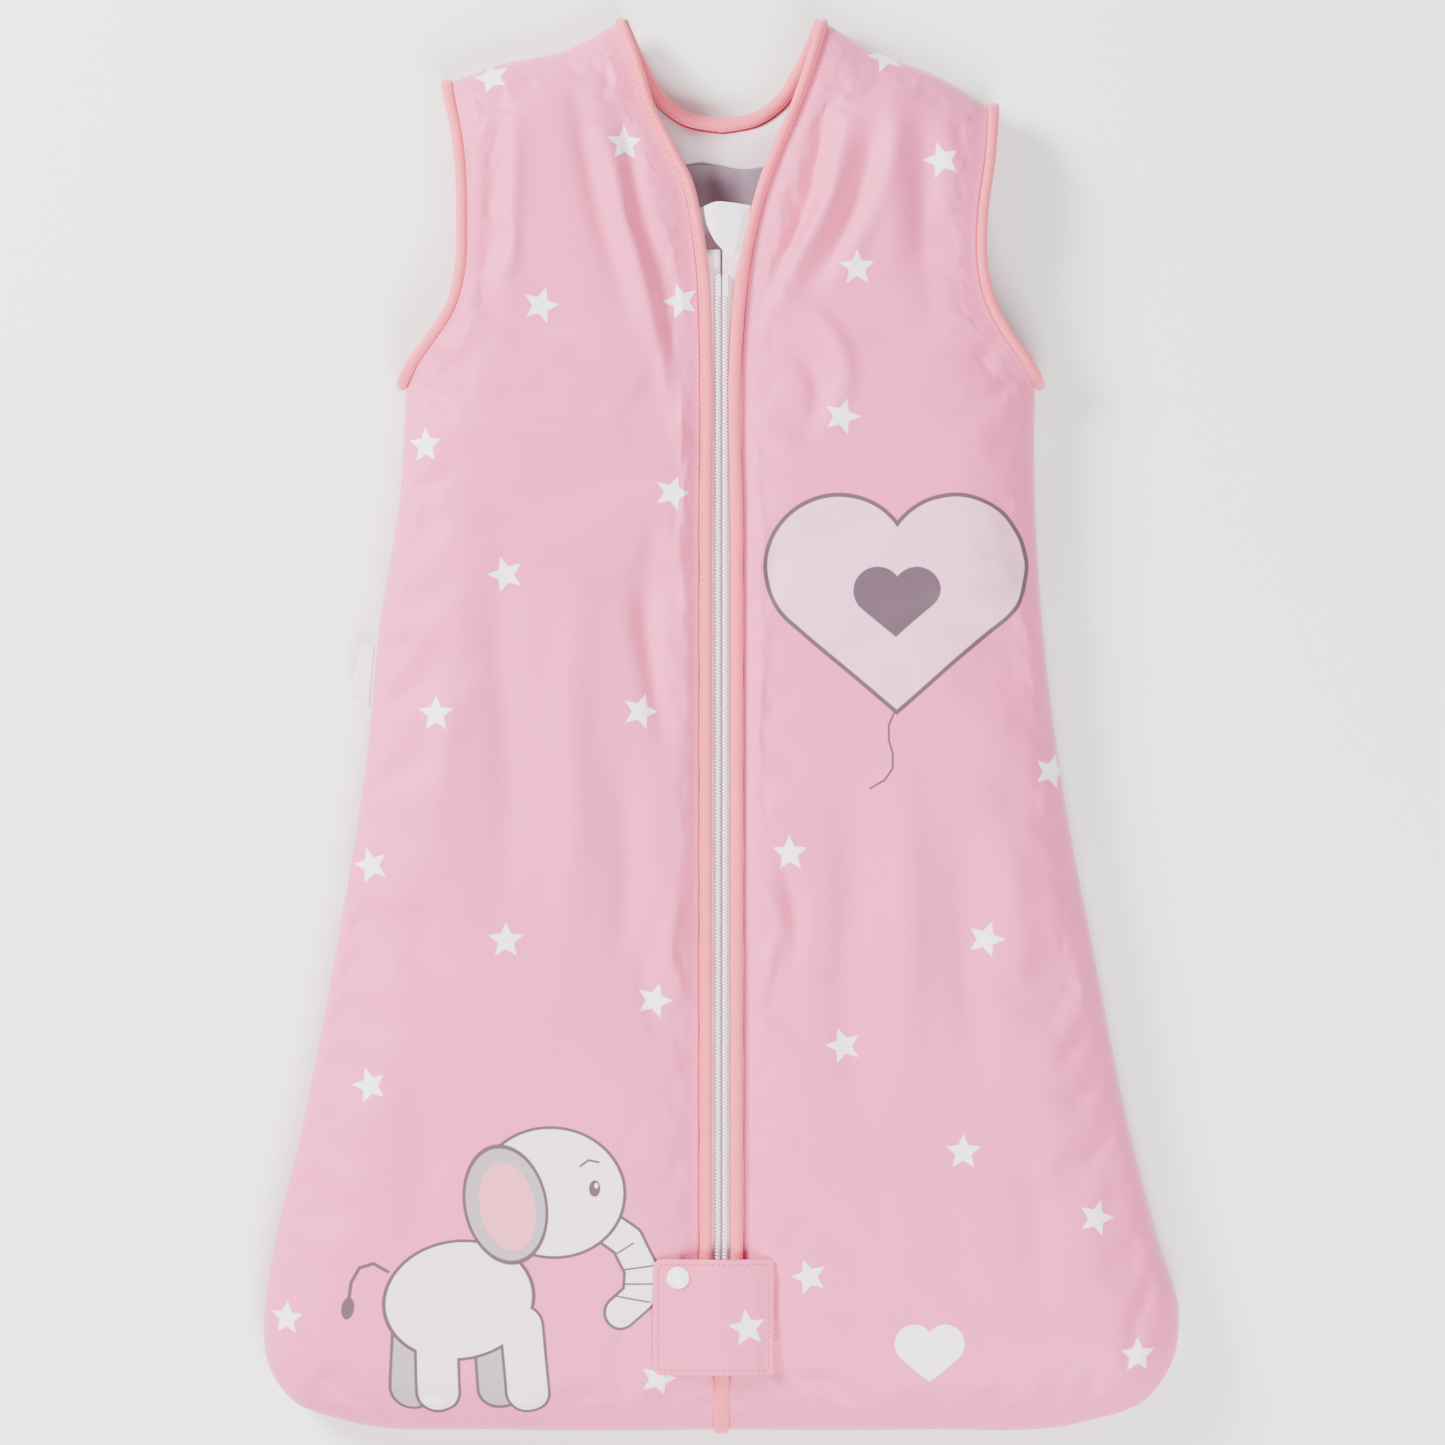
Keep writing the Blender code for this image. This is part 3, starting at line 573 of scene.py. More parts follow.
@dataclass(frozen=True)
class Stuffing:
    """How padding pushes the cloth of a cover out between its sewn edges."""

    pressure: float = 2.2
    slack: float = 0.03
    bending: float = 0.6
    frames: int = 20
    furthest: float = 3.0

    def fill(self, piece: bpy.types.Object, held: np.ndarray) -> None:
        """Lets the cover's cloth puff and crease, by cloth simulation.

        Args:
            piece: the cover, with no modifiers yet.
            held: how firmly each vertex stays in place, from 0 to 1.
        """
        group = piece.vertex_groups.new(name="held")
        for index, weight in enumerate(held):
            group.add([index], float(weight), "REPLACE")
        cloth = piece.modifiers.new("stuffing", "CLOTH")
        settings = cloth.settings
        settings.quality = 4
        settings.mass = 0.3
        settings.tension_stiffness = 14.0
        settings.compression_stiffness = 10.0
        settings.shear_stiffness = 8.0
        settings.bending_stiffness = self.bending
        settings.shrink_min = -self.slack
        settings.use_pressure = True
        settings.uniform_pressure_force = self.pressure
        settings.vertex_group_mass = group.name
        settings.effector_weights.gravity = 0.0
        cloth.collision_settings.use_collision = False
        before = np.array([v.co for v in piece.data.vertices])
        for number in range(1, self.frames + 1):
            bpy.context.scene.frame_set(number)
        graph = bpy.context.evaluated_depsgraph_get()
        after = np.array([v.co for v in piece.evaluated_get(graph).data.vertices])
        move = after - before
        size = np.linalg.norm(move, axis=1)[:, None]
        limit = self.furthest * MM
        move *= limit * np.tanh(size / limit) / np.maximum(size, 1e-9)
        piece.modifiers.remove(cloth)
        piece.vertex_groups.remove(group)
        piece.data.vertices.foreach_set("co", (before + move).astype(np.float32).ravel())
        piece.data.update()
        bpy.context.scene.frame_set(1)
        LOG.info("%s is stuffed, moved by up to %.1f mm", piece.name, size.max() / MM)


SQUARENESS = 0.82
SEWN_ANGLE = 0.9
STITCH_SINK = -0.1
STRIP_GIRTH = 16


@dataclass(frozen=True)
class Roll:
    """A rolled strip: its middle line and its oval section, in millimetres.

    `across` are the unit vectors of the section's width, one for each point.
    """

    centre: np.ndarray
    across: np.ndarray
    half_width: np.ndarray
    half_height: np.ndarray
    closed: bool = False

    def upward(self) -> np.ndarray:
        """Unit vectors of the section's height.

        Returns:
            One unit vector for each sample of the middle line.
        """
        if self.closed:
            way = np.roll(self.centre, -1, axis=0) - np.roll(self.centre, 1, axis=0)
        else:
            way = np.gradient(self.centre, axis=0)
        up = np.cross(self.across, way)
        up /= np.linalg.norm(up, axis=1)[:, None]
        return up if up[:, 2].mean() > 0 else -up

    def section(self, angle: float, proud: float = 0.0) -> np.ndarray:
        """Points on the surface, at an angle round the section.

        Args:
            angle: in radians, from the width's end towards the top.
            proud: distance above the surface, in millimetres.

        Returns:
            One point for each sample of the middle line.
        """
        c, s = math.cos(angle), math.sin(angle)
        c, s = math.copysign(abs(c) ** SQUARENESS, c), math.copysign(abs(s) ** SQUARENESS, s)
        return (
            self.centre + self.across * (c * (self.half_width + proud))[:, None]
            + self.upward() * (s * (self.half_height + proud))[:, None]
        )


def tube(
    name: str, strip: Roll, material: bpy.types.Material, sides: int = 16, pinch: float = 0.0
) -> bpy.types.Object:
    """A closed tube with the oval section of a rolled strip.

    Args:
        name: the piece's name.
        strip: middle line and section.
        material: the finish.
        sides: faces round the section.
        pinch: depth of the sewn groove, as a share of the section.

    Returns:
        The piece, with lengths along and round it in its UV map "print".
    """
    count = len(strip.centre)
    columns = count if strip.closed else count - 1
    bm = bmesh.new()
    bmesh.ops.create_grid(bm, x_segments=columns, y_segments=sides, size=0.5)
    flat = bm.loops.layers.uv.new("print")
    rings = []
    for k in range(sides + 1):
        angle = 2 * math.pi * k / sides
        groove = 1 - pinch * math.exp(-(((angle - SEWN_ANGLE) / 0.25) ** 2))
        rings.append(strip.centre + (strip.section(angle) - strip.centre) * groove)
    length = lengths_along(strip.centre)[-1]
    for face in bm.faces:
        for loop in face.loops:
            share = loop.vert.co
            loop[flat].uv = ((share.x + 0.5) * length * MM, (share.y + 0.5) * STRIP_GIRTH * MM)
    for vert in bm.verts:
        i = round((vert.co.x + 0.5) * columns) % count
        vert.co = Vector(rings[round((vert.co.y + 0.5) * sides)][i]) * MM
    bmesh.ops.remove_doubles(bm, verts=list(bm.verts), dist=1e-6)
    if not strip.closed:
        rim = [edge for edge in bm.edges if edge.is_boundary]
        bmesh.ops.holes_fill(bm, edges=rim, sides=0)
    bmesh.ops.recalc_face_normals(bm, faces=list(bm.faces))
    return finish_mesh(bm, name, material)


def stitches(
    name: str,
    line: np.ndarray,
    up: np.ndarray,
    material: bpy.types.Material,
    step: float = 3.0,
    size: tuple[float, float, float] = (1.05, 0.32, 0.24),
) -> bpy.types.Object:
    """A row of thread stitches lying on a line.

    Args:
        name: the piece's name.
        line: points on the surface, in millimetres.
        up: the surface's unit normals at those points.
        material: the thread.
        step: distance from stitch to stitch.
        size: half length, half width and half height of a stitch.

    Returns:
        The piece, every stitch in one mesh.
    """
    along = lengths_along(line)
    bm = bmesh.new()
    for at in np.arange(step / 2, along[-1] - step / 3, step):
        where = np.array([np.interp(at, along, line[:, k]) for k in range(3)])
        ahead = np.array([np.interp(at + 0.8, along, line[:, k]) for k in range(3)])
        normal = Vector([np.interp(at, along, up[:, k]) for k in range(3)]).normalized()
        way = Vector(ahead - where).normalized()
        cross = normal.cross(way).normalized()
        turn = Matrix((way, cross, way.cross(cross))).transposed().to_4x4()
        place = Matrix.Translation(Vector(where) * MM) @ turn @ Matrix.Diagonal(
            (size[0] * MM, size[1] * MM, size[2] * MM, 1.0)
        )
        bmesh.ops.create_icosphere(bm, subdivisions=1, radius=1.0, matrix=place)
    return finish_mesh(bm, name, material)


# --- shader maths -------------------------------------------------------------------------
Colour = tuple[float, float, float]


def srgb(red: int, green: int, blue: int) -> Colour:
    """A colour from its screen values, 0 to 255, as linear light."""
    parts = [c / 255 for c in (red, green, blue)]
    return tuple(c / 12.92 if c <= 0.04045 else ((c + 0.055) / 1.055) ** 2.4 for c in parts)


class Value:
    """A number that varies over a surface, for use in Python expressions."""

    def __init__(self, graph: "Graph", socket: bpy.types.NodeSocket) -> None:
        """Wraps one socket of a graph."""
        self.graph = graph
        self.socket = socket

    def math(self, operation: str, *others: "Value | float", clamp: bool = False) -> "Value":
        """Adds a Math node.

        Args:
            operation: the node's operation.
            others: its other inputs.
            clamp: whether the result is kept from 0 to 1.

        Returns:
            The node's result.
        """
        return self.graph.math(operation, self, *others, clamp=clamp)

    def __add__(self, other: "Value | float") -> "Value":
        """Sum."""
        return self.math("ADD", other)

    __radd__ = __add__

    def __mul__(self, other: "Value | float") -> "Value":
        """Product."""
        return self.math("MULTIPLY", other)

    __rmul__ = __mul__

    def __sub__(self, other: "Value | float") -> "Value":
        """Difference."""
        return self.math("SUBTRACT", other)

    def __rsub__(self, other: float) -> "Value":
        """Difference from a plain number."""
        return self.graph.math("SUBTRACT", other, self)

    def __truediv__(self, other: "Value | float") -> "Value":
        """Quotient."""
        return self.math("DIVIDE", other)

    def __neg__(self) -> "Value":
        """Opposite."""
        return self.math("MULTIPLY", -1.0)

    def __abs__(self) -> "Value":
        """Size without its sign."""
        return self.math("ABSOLUTE")

    def least(self, other: "Value | float") -> "Value":
        """The smaller of two."""
        return self.math("MINIMUM", other)

    def most(self, other: "Value | float") -> "Value":
        """The larger of two."""
        return self.math("MAXIMUM", other)

    def limited(self) -> "Value":
        """The value kept from 0 to 1."""
        return self.math("ADD", 0.0, clamp=True)

    def filled(self, soft: float) -> "Value":
        """1 where a distance is below 0 and 0 above, over a soft edge."""
        return self.graph.math("MULTIPLY_ADD", self, -0.5 / soft, 0.5, clamp=True)

    def drawn(self, half_width: float, soft: float) -> "Value":
        """1 on the line where a distance is 0."""
        return (abs(self) - half_width).filled(soft)


class Graph:
    """The node tree of one finish."""

    def __init__(self, name: str) -> None:
        """Starts a material that has only its Principled shader.

        Args:
            name: the material's name.
        """
        self.material = bpy.data.materials.new(name)
        self.material.use_nodes = True
        self.tree = self.material.node_tree
        self.shader = self.tree.nodes["Principled BSDF"]

    def node(self, kind: str, settings: dict | None = None, **inputs: object) -> bpy.types.Node:
        """Adds a node.

        Args:
            kind: the node's type, without its ShaderNode prefix.
            settings: attributes set before its inputs, ramp stops under "stops".
            inputs: values or links, by socket name with _ for a space, or s0, s1 by number.

        Returns:
            The new node.
        """
        made = self.tree.nodes.new("ShaderNode" + kind)
        for key, value in (settings or {}).items():
            setattr(made, key, value)
        for key, value in inputs.items():
            number = key[1:] if key[0] == "s" and key[1:].isdigit() else None
            socket = made.inputs[int(number)] if number else made.inputs[key.replace("_", " ")]
            self.feed(socket, value)
        return made

    def feed(self, socket: bpy.types.NodeSocket, value: object) -> None:
        """Gives a socket a link, a number or a colour.

        Args:
            socket: the input.
            value: what it gets.
        """
        if isinstance(value, Value):
            self.tree.links.new(value.socket, socket)
        elif isinstance(value, bpy.types.NodeSocket):
            self.tree.links.new(value, socket)
        elif isinstance(value, tuple) and socket.type == "RGBA":
            socket.default_value = (*value, 1.0)
        else:
            socket.default_value = value

    def math(self, operation: str, *values: Value | float, clamp: bool = False) -> Value:
        """Adds a Math node on values or numbers.

        Args:
            operation: the node's operation.
            values: its inputs.
            clamp: whether the result is kept from 0 to 1.

        Returns:
            The result.
        """
        made = self.node("Math", {"operation": operation, "use_clamp": clamp},
                         **{f"s{i}": value for i, value in enumerate(values)})
        return Value(self, made.outputs[0])

    def flat(self, name: str = "print") -> tuple[Value, Value]:
        """The two coordinates of a UV map, in millimetres."""
        split = self.node("SeparateXYZ", s0=self.node("UVMap", {"uv_map": name}).outputs[0])
        return Value(self, split.outputs[0]) * 1000.0, Value(self, split.outputs[1]) * 1000.0

    def place(self) -> bpy.types.NodeSocket:
        """The object's own coordinates, in metres."""
        return self.node("TexCoord").outputs["Object"]

    def noise(self, scale: float, detail: float = 2.0, where: object = None) -> Value:
        """Noise from 0 to 1 with features of about 1/scale metres."""
        made = self.node("TexNoise", s0=where or self.place(), Scale=scale, Detail=detail)
        return Value(self, made.outputs[0])

    def mix(self, share: Value | float, first: object, second: object) -> bpy.types.NodeSocket:
        """A colour between two colours."""
        made = self.node("Mix", {"data_type": "RGBA"}, s0=share, s6=first, s7=second)
        return made.outputs[2]

    def bump(self, height: Value, distance: float, strength: float = 1.0) -> None:
        """Feeds the shader's normal from a height."""
        made = self.node("Bump", Height=height, Distance=distance, Strength=strength)
        self.feed(self.shader.inputs["Normal"], made.outputs[0])

    def dress(self, **inputs: object) -> bpy.types.Material:
        """Sets the shader's own sockets.

        Args:
            inputs: values or links, by socket name with _ for a space.

        Returns:
            The finished material.
        """
        for key, value in inputs.items():
            self.feed(self.shader.inputs[key.replace("_", " ")], value)
        return self.material


# --- printed motifs, in millimetres on the plan ---------------------------------------------
@dataclass(frozen=True)
class Disc:
    """An ellipse of ink."""

    x: float
    y: float
    rx: float
    ry: float
    turn: float = 0.0

    def distance(self, g: Graph, x: Value, y: Value) -> Value:
        """Distance outside the shape, below 0 inside.

        Args:
            g: the finish's graph.
            x: plan position across, in millimetres.
            y: plan position along.

        Returns:
            The distance.
        """
        dx, dy = x - self.x, y - self.y
        if self.rx == self.ry:
            return (dx * dx + dy * dy).math("SQRT") - self.rx
        c, s = math.cos(math.radians(self.turn)), math.sin(math.radians(self.turn))
        px, py = (dx * c + dy * s) / self.rx, (dy * c - dx * s) / self.ry
        return ((px * px + py * py).math("SQRT") - 1.0) * min(self.rx, self.ry)


@dataclass(frozen=True)
class Stroke:
    """A round-ended line of ink through some points."""

    points: Plan
    radius: float

    def distance(self, g: Graph, x: Value, y: Value) -> Value:
        """Distance outside the shape, below 0 inside.

        Args:
            g: the finish's graph.
            x: plan position across, in millimetres.
            y: plan position along.

        Returns:
            The distance.
        """
        best = None
        for (ax, ay), (bx, by) in zip(self.points[:-1], self.points[1:]):
            rx, ry = bx - ax, by - ay
            run = rx * rx + ry * ry
            dx, dy = x - ax, y - ay
            t = (dx * (rx / run) + dy * (ry / run)).limited()
            ex, ey = dx - t * rx, dy - t * ry
            gap = (ex * ex + ey * ey).math("SQRT") - self.radius
            best = gap if best is None else best.least(gap)
        return best


@dataclass(frozen=True)
class Corner:
    """A filled shape with straight edges and only outward corners, anticlockwise."""

    points: Plan

    def distance(self, g: Graph, x: Value, y: Value) -> Value:
        """Distance outside the shape, below 0 inside.

        Args:
            g: the finish's graph.
            x: plan position across, in millimetres.
            y: plan position along.

        Returns:
            The distance.
        """
        best = None
        for (ax, ay), (bx, by) in zip(self.points, [*self.points[1:], self.points[0]]):
            size = math.hypot(bx - ax, by - ay)
            nx, ny = (by - ay) / size, (ax - bx) / size
            gap = x * nx + y * ny - (ax * nx + ay * ny)
            best = gap if best is None else best.most(gap)
        return best


@dataclass(frozen=True)
class Star:
    """A five-pointed star of ink; with no place, it is read from the star UV map."""

    radius: float
    x: float = 0.0
    y: float = 0.0
    turn: float = 0.0
    waist: float = 0.46

    def distance(self, g: Graph, x: Value, y: Value) -> Value:
        """Distance outside the shape, below 0 inside.

        Args:
            g: the finish's graph.
            x: plan position across, in millimetres.
            y: plan position along.

        Returns:
            The distance.
        """
        dx, dy = x - self.x, y - self.y
        sector = 2 * math.pi / 5
        angle = (dx.math("ARCTAN2", dy) + math.radians(self.turn)) / sector
        part = abs(angle - angle.math("ROUND")) * sector
        size = (dx * dx + dy * dy).math("SQRT")
        px, py = size * part.math("COSINE"), size * part.math("SINE")
        ix = self.waist * self.radius * math.cos(sector / 2) - self.radius
        iy = self.waist * self.radius * math.sin(sector / 2)
        run = math.hypot(ix, iy)
        return (px - self.radius) * (iy / run) + py * (-ix / run)


Shape = Disc | Stroke | Corner | Star


@dataclass(frozen=True)
class Ink:
    """One printed layer: the joined shapes, their fill and their outline."""

    shapes: Sequence[Shape]
    fill: Colour | None
    line: Colour | None = None
    line_half: float = 0.8

    def over(self, g: Graph, x: Value, y: Value, below: object) -> bpy.types.NodeSocket:
        """Prints the layer over a colour.

        Args:
            g: the finish's graph.
            x: plan position across.
            y: plan position along.
            below: the colour under the layer.

        Returns:
            The printed colour.
        """
        gap = None
        for shape in self.shapes:
            one = shape.distance(g, x, y)
            gap = one if gap is None else gap.least(one)
        result = below
        if self.fill is not None:
            result = g.mix(gap.filled(0.22), result, self.fill)
        if self.line is not None:
            result = g.mix(gap.drawn(self.line_half, 0.22), result, self.line)
        return result


WHITE_INK = srgb(252, 240, 248)
PALE_INK = srgb(246, 224, 236)
MID_INK = srgb(168, 150, 160)
DARK_INK = srgb(88, 64, 78)
BLUSH_INK = srgb(240, 140, 160)

ELEPHANT = [
    Ink([Stroke([(-165, -271), (-172, -267), (-179, -269), (-183, -276), (-184, -284)], 0.9),
         Disc(-184.5, -289, 3.2, 5.6, -8)],
        DARK_INK),
    Ink([Stroke([(-152, -300), (-153, -329)], 10.5), Stroke([(-112, -300), (-110, -329)], 10.5)],
        MID_INK, DARK_INK),
    Ink([Disc(-130, -285, 37, 29, 8), Stroke([(-141, -300), (-140, -331)], 10.5),
         Stroke([(-99, -298), (-96, -331)], 10.5)], PALE_INK, DARK_INK),
    Ink([Disc(-143, -335, 5.5, 3.2), Disc(-99, -335, 5.5, 3.2)], WHITE_INK),
    Ink([Stroke([(-61, -246), (-47, -256), (-40, -270), (-41, -283), (-50, -291)], 8.2)],
        PALE_INK, DARK_INK),
    Ink([Stroke([(-52, -262), (-44, -257)], 0.5), Stroke([(-48.5, -270), (-34.5, -268)], 0.5),
         Stroke([(-49, -277), (-34, -277)], 0.5), Stroke([(-52, -283), (-36, -286)], 0.5)],
        DARK_INK),
    Ink([Disc(-84, -232, 36, 32, -6)], PALE_INK, DARK_INK),
    Ink([Disc(-107, -238, 20, 29, 12)], MID_INK, DARK_INK),
    Ink([Disc(-106, -239, 13.5, 22, 12)], BLUSH_INK),
    Ink([Disc(-63, -230, 2.9, 4.2), Stroke([(-70, -219), (-66, -216), (-61, -217)], 0.6)],
        DARK_INK),
    Ink([Disc(-62.2, -228.6, 0.9, 1.2)], WHITE_INK),
]


def heart(x: float, y: float, radius: float) -> list[Shape]:
    """A plain upright heart: two round lobes closed by a wedge.

    Args:
        x: its middle, across.
        y: height of the middles of its lobes.
        radius: radius of a lobe.

    Returns:
        The joined shapes.
    """
    apart, depth = 0.8, 2.0
    reach = math.sqrt(apart * apart + depth * depth - 1.0)
    lean = math.atan2(apart, depth) + math.atan2(1.0, reach)
    side, low = reach * math.sin(lean) * radius, (reach * math.cos(lean) - depth) * radius
    notch = math.sqrt(1.0 - apart * apart) * radius
    lobes = [Disc(x + way * apart * radius, y, radius, radius) for way in (-1, 1)]
    return [*lobes, Corner([(x, y - depth * radius), (x + side, y + low), (x, y + notch),
                            (x - side, y + low)])]


HEART_MOTIF = [
    Ink([Stroke([(86, 6), (83, -1), (83, -8), (85, -15), (85, -22), (81, -28), (74, -32)], 0.55)],
        DARK_INK),
    Ink(heart(87.0, 77.5, 36.0), srgb(242, 178, 202), DARK_INK, 1.1),
    Ink(heart(87.0, 66.0, 12.0), DARK_INK),
]
SMALL_HEART = [Ink(heart(103.2, -306.5, 9.5), WHITE_INK)]
STARS = {
    Side.LEFT: [(-114.25, 322.0), (-48.25, 287.5), (-89.75, 208.0), (-20.25, 210.0),
                (-146.75, 138.5), (-25.25, 114.5), (-106.75, 73.5), (-141.25, 4.0),
                (-40.75, 6.0), (-174.25, -70.0), (-106.75, -107.0), (-33.25, -137.0),
                (-175.25, -179.0), (-215.75, -295.0), (-31.75, -324.0)],
    Side.RIGHT: [(108.75, 279.0), (67.75, 226.0), (59.75, 152.5), (81.75, 333.0), (34.25, -64.0),
                 (130.75, -106.5), (60.25, -159.5), (119.75, -212.0), (185.75, -244.5),
                 (43.75, -273.5), (205.75, -312.5), (164.25, -23.5)],
}
STAR_SWAY = 0.35
BACK_STAR_ROWS = 9
BACK_STAR_PITCH = 74.0
BACK_STAR_RISE = 76.0
BACK_STAR_FOOT = -310.0
BACK_STAR_SWAY = 0.4


def star_places(side: Side) -> list[tuple[float, float, float]]:
    """Middle and turn of each star printed on one front."""
    return [(x, y, STAR_SWAY * math.sin(2.1 * i + 1.0)) for i, (x, y) in enumerate(STARS[side])]


def back_star_places() -> list[tuple[float, float, float]]:
    """Middle and turn of each star printed on the back, in staggered rows.

    Returns:
        One x, y and turn for each star.
    """
    places = []
    for row in range(BACK_STAR_ROWS):
        stagger = BACK_STAR_PITCH / 2 if row % 2 else 0.0
        for column in range(-3, 4):
            x = BACK_STAR_PITCH * column + stagger + 7 * math.sin(3.0 * row + column)
            y = BACK_STAR_FOOT + BACK_STAR_RISE * row + 8 * math.sin(2.0 * column + row)
            places.append((x, y, BACK_STAR_SWAY * math.sin(1.9 * row + 2.7 * column)))
    return places


# --- finishes ---------------------------------------------------------------------------------
@dataclass(frozen=True)
class Jersey:
    """Printed cotton jersey with a satin hand."""

    name: str
    prints: Sequence[Ink] = ()
    colour: Colour = srgb(236, 110, 156)
    star_radius: float = 9.0

    def make(self) -> bpy.types.Material:
        """Builds the finish from the plan's own UV maps.

        Returns:
            The finished material.
        """
        g = Graph(self.name)
        x, y = g.flat()
        cloudy = g.noise(22.0, 3.0)
        fine = g.noise(900.0, 2.0)
        base = g.mix((cloudy * 0.9).limited(), self.colour,
                     tuple(min(1.0, c * 1.05) for c in self.colour))
        base = g.mix(fine * 0.25, base, tuple(c * 0.9 for c in self.colour))
        sx, sy = g.flat("star")
        base = Ink([Star(self.star_radius)], WHITE_INK).over(g, sx, sy, base)
        for ink in self.prints:
            base = ink.over(g, x, y, base)
        wale = (x * (2 * math.pi / 0.95)).math("SINE")
        course = (y * (2 * math.pi / 0.8) + wale * 0.8).math("SINE")
        knit = wale * 0.16 + course * 0.14 + fine * 0.5 + g.noise(160.0, 3.0) * 2.2
        g.bump(knit, 0.00009, 0.55)
        return g.dress(Base_Color=base, Roughness=0.5 + fine * 0.14, Sheen_Weight=0.28,
                       Sheen_Roughness=0.45, Specular_IOR_Level=0.32)


@dataclass(frozen=True)
class Weave:
    """Woven or knitted cloth in one colour."""

    name: str
    colour: Colour
    pitch: float
    depth: float
    roughness: float = 0.72
    sheen: float = 0.2
    diagonal: bool = False

    def make(self) -> bpy.types.Material:
        """Builds the finish, its threads following the cloth's own UV map.

        Returns:
            The finished material.
        """
        g = Graph(self.name)
        x, y = g.flat()
        if self.diagonal:
            x, y = x + y, x - y
        turn = 2 * math.pi / self.pitch
        warp, weft = (x * turn).math("SINE"), (y * turn).math("SINE")
        threads = warp * weft
        cloudy, fine = g.noise(45.0, 3.0), g.noise(1100.0)
        tone = (threads * 0.18 + cloudy * 0.55 + fine * 0.25).limited()
        colour = g.mix(tone, tuple(c * 0.84 for c in self.colour),
                       tuple(min(1.0, c * 1.07) for c in self.colour))
        g.bump(threads * 0.6 + fine * 0.5 + g.noise(230.0) * 1.2, self.depth, 0.6)
        return g.dress(Base_Color=colour, Roughness=self.roughness + fine * 0.1,
                       Sheen_Weight=self.sheen, Sheen_Roughness=0.5)


@dataclass(frozen=True)
class Moulded:
    """Moulded plastic with a faint texture."""

    name: str
    colour: Colour
    roughness: float
    coat: float = 0.0

    def make(self) -> bpy.types.Material:
        """Builds the finish on the object's own coordinates.

        Returns:
            The finished material.
        """
        g = Graph(self.name)
        cloudy, fine = g.noise(120.0, 2.0), g.noise(2500.0)
        colour = g.mix(cloudy, tuple(c * 0.93 for c in self.colour), self.colour)
        g.bump(fine, 0.00002, 0.4)
        return g.dress(Base_Color=colour, Roughness=self.roughness + fine * 0.12,
                       Coat_Weight=self.coat)


class Finishes:
    """Every finish of the bag, made once."""

    def __init__(self) -> None:
        """Builds the materials."""
        self.front = {
            Side.LEFT: Jersey("jersey_left", ELEPHANT).make(),
            Side.RIGHT: Jersey("jersey_right", [*HEART_MOTIF, *SMALL_HEART]).make(),
        }
        self.jersey = Jersey("jersey_back").make()
        self.flap = Jersey("jersey_flap", star_radius=9.5).make()
        self.lining = Weave("lining", srgb(236, 214, 224), 1.1, 0.00007).make()
        self.binding = Weave("binding", srgb(252, 104, 124), 0.8, 0.00006, 0.6, 0.3, True).make()
        # The zip tape itself is white; the darker pink of this colour is painted shade and painted pink
        # bounce light from the coral bindings. The same colour is used for the zip cores and the zip
        # sewing.
        self.tape = Weave("tape", srgb(246, 216, 227), 0.7, 0.00008, 0.7).make()
        self.satin = Weave("satin", srgb(250, 240, 246), 0.5, 0.00003, 0.42, 0.3).make()
        self.label = Weave("label", srgb(136, 118, 132), 0.6, 0.00006, 0.6).make()
        self.thread = Moulded("thread", srgb(228, 84, 110), 0.55).make()
        self.coil = Moulded("coil", srgb(252, 232, 239), 0.36).make()
        self.plastic = Moulded("plastic", srgb(240, 226, 232), 0.35).make()
        self.snap = Moulded("snap", srgb(255, 254, 252), 0.22, 0.4).make()


# --- heights of the layers ----------------------------------------------------------------------
@dataclass(frozen=True)
class Heights:
    """Height rules of one half, in millimetres at plan points."""

    outline: Outline
    squeeze: float = 2.6
    squeeze_reach: float = 11.0

    def held(self, points: np.ndarray) -> np.ndarray:
        """1 at a bound edge, falling to 0 away from it."""
        gap = distance_to(points, self.outline.front_edge(), self.outline.armhole())
        return 1 - ease(gap / self.squeeze_reach)

    def calm_top(self, points: np.ndarray) -> np.ndarray:
        """Upper height of the front without its folds."""
        rise = roll(self.outline.seam_distance(points), TOP_ROLL)
        return SEAM_Z + 0.6 + (FRONT_TOP_Z - SEAM_Z - 0.6) * rise

    def front_top(self, points: np.ndarray) -> np.ndarray:
        """Upper height of the front cover, with folds.

        Args:
            points: plan points, one row each.

        Returns:
            One height for each point, in millimetres.
        """
        seam = self.outline.seam_distance(points)
        held = self.held(points)
        free = ease(seam / 12.0) * (1 - 0.75 * held)
        folds = FOLD_DEPTH * sum(fold.lift(points) for fold in FOLDS[self.outline.side])
        gathers = sum(fold.lift(points) for fold in hem_puckers(self.outline.side))
        waves = 0.9 * soft_noise(points, 62.0, 3.1) + 0.45 * soft_noise(points, 21.0, 8.7)
        lift = free * (folds + waves) + gathers * ease(seam / 3.0)
        return self.calm_top(points) - self.squeeze * held * roll(seam, TOP_ROLL) + lift

    def front_under(self, points: np.ndarray) -> np.ndarray:
        """Lower height of the front cover."""
        rise = ease((self.outline.seam_distance(points) - 4.0) / 16.0)
        return SEAM_Z + (FRONT_UNDER_Z - SEAM_Z + 3.6 * self.held(points)) * rise


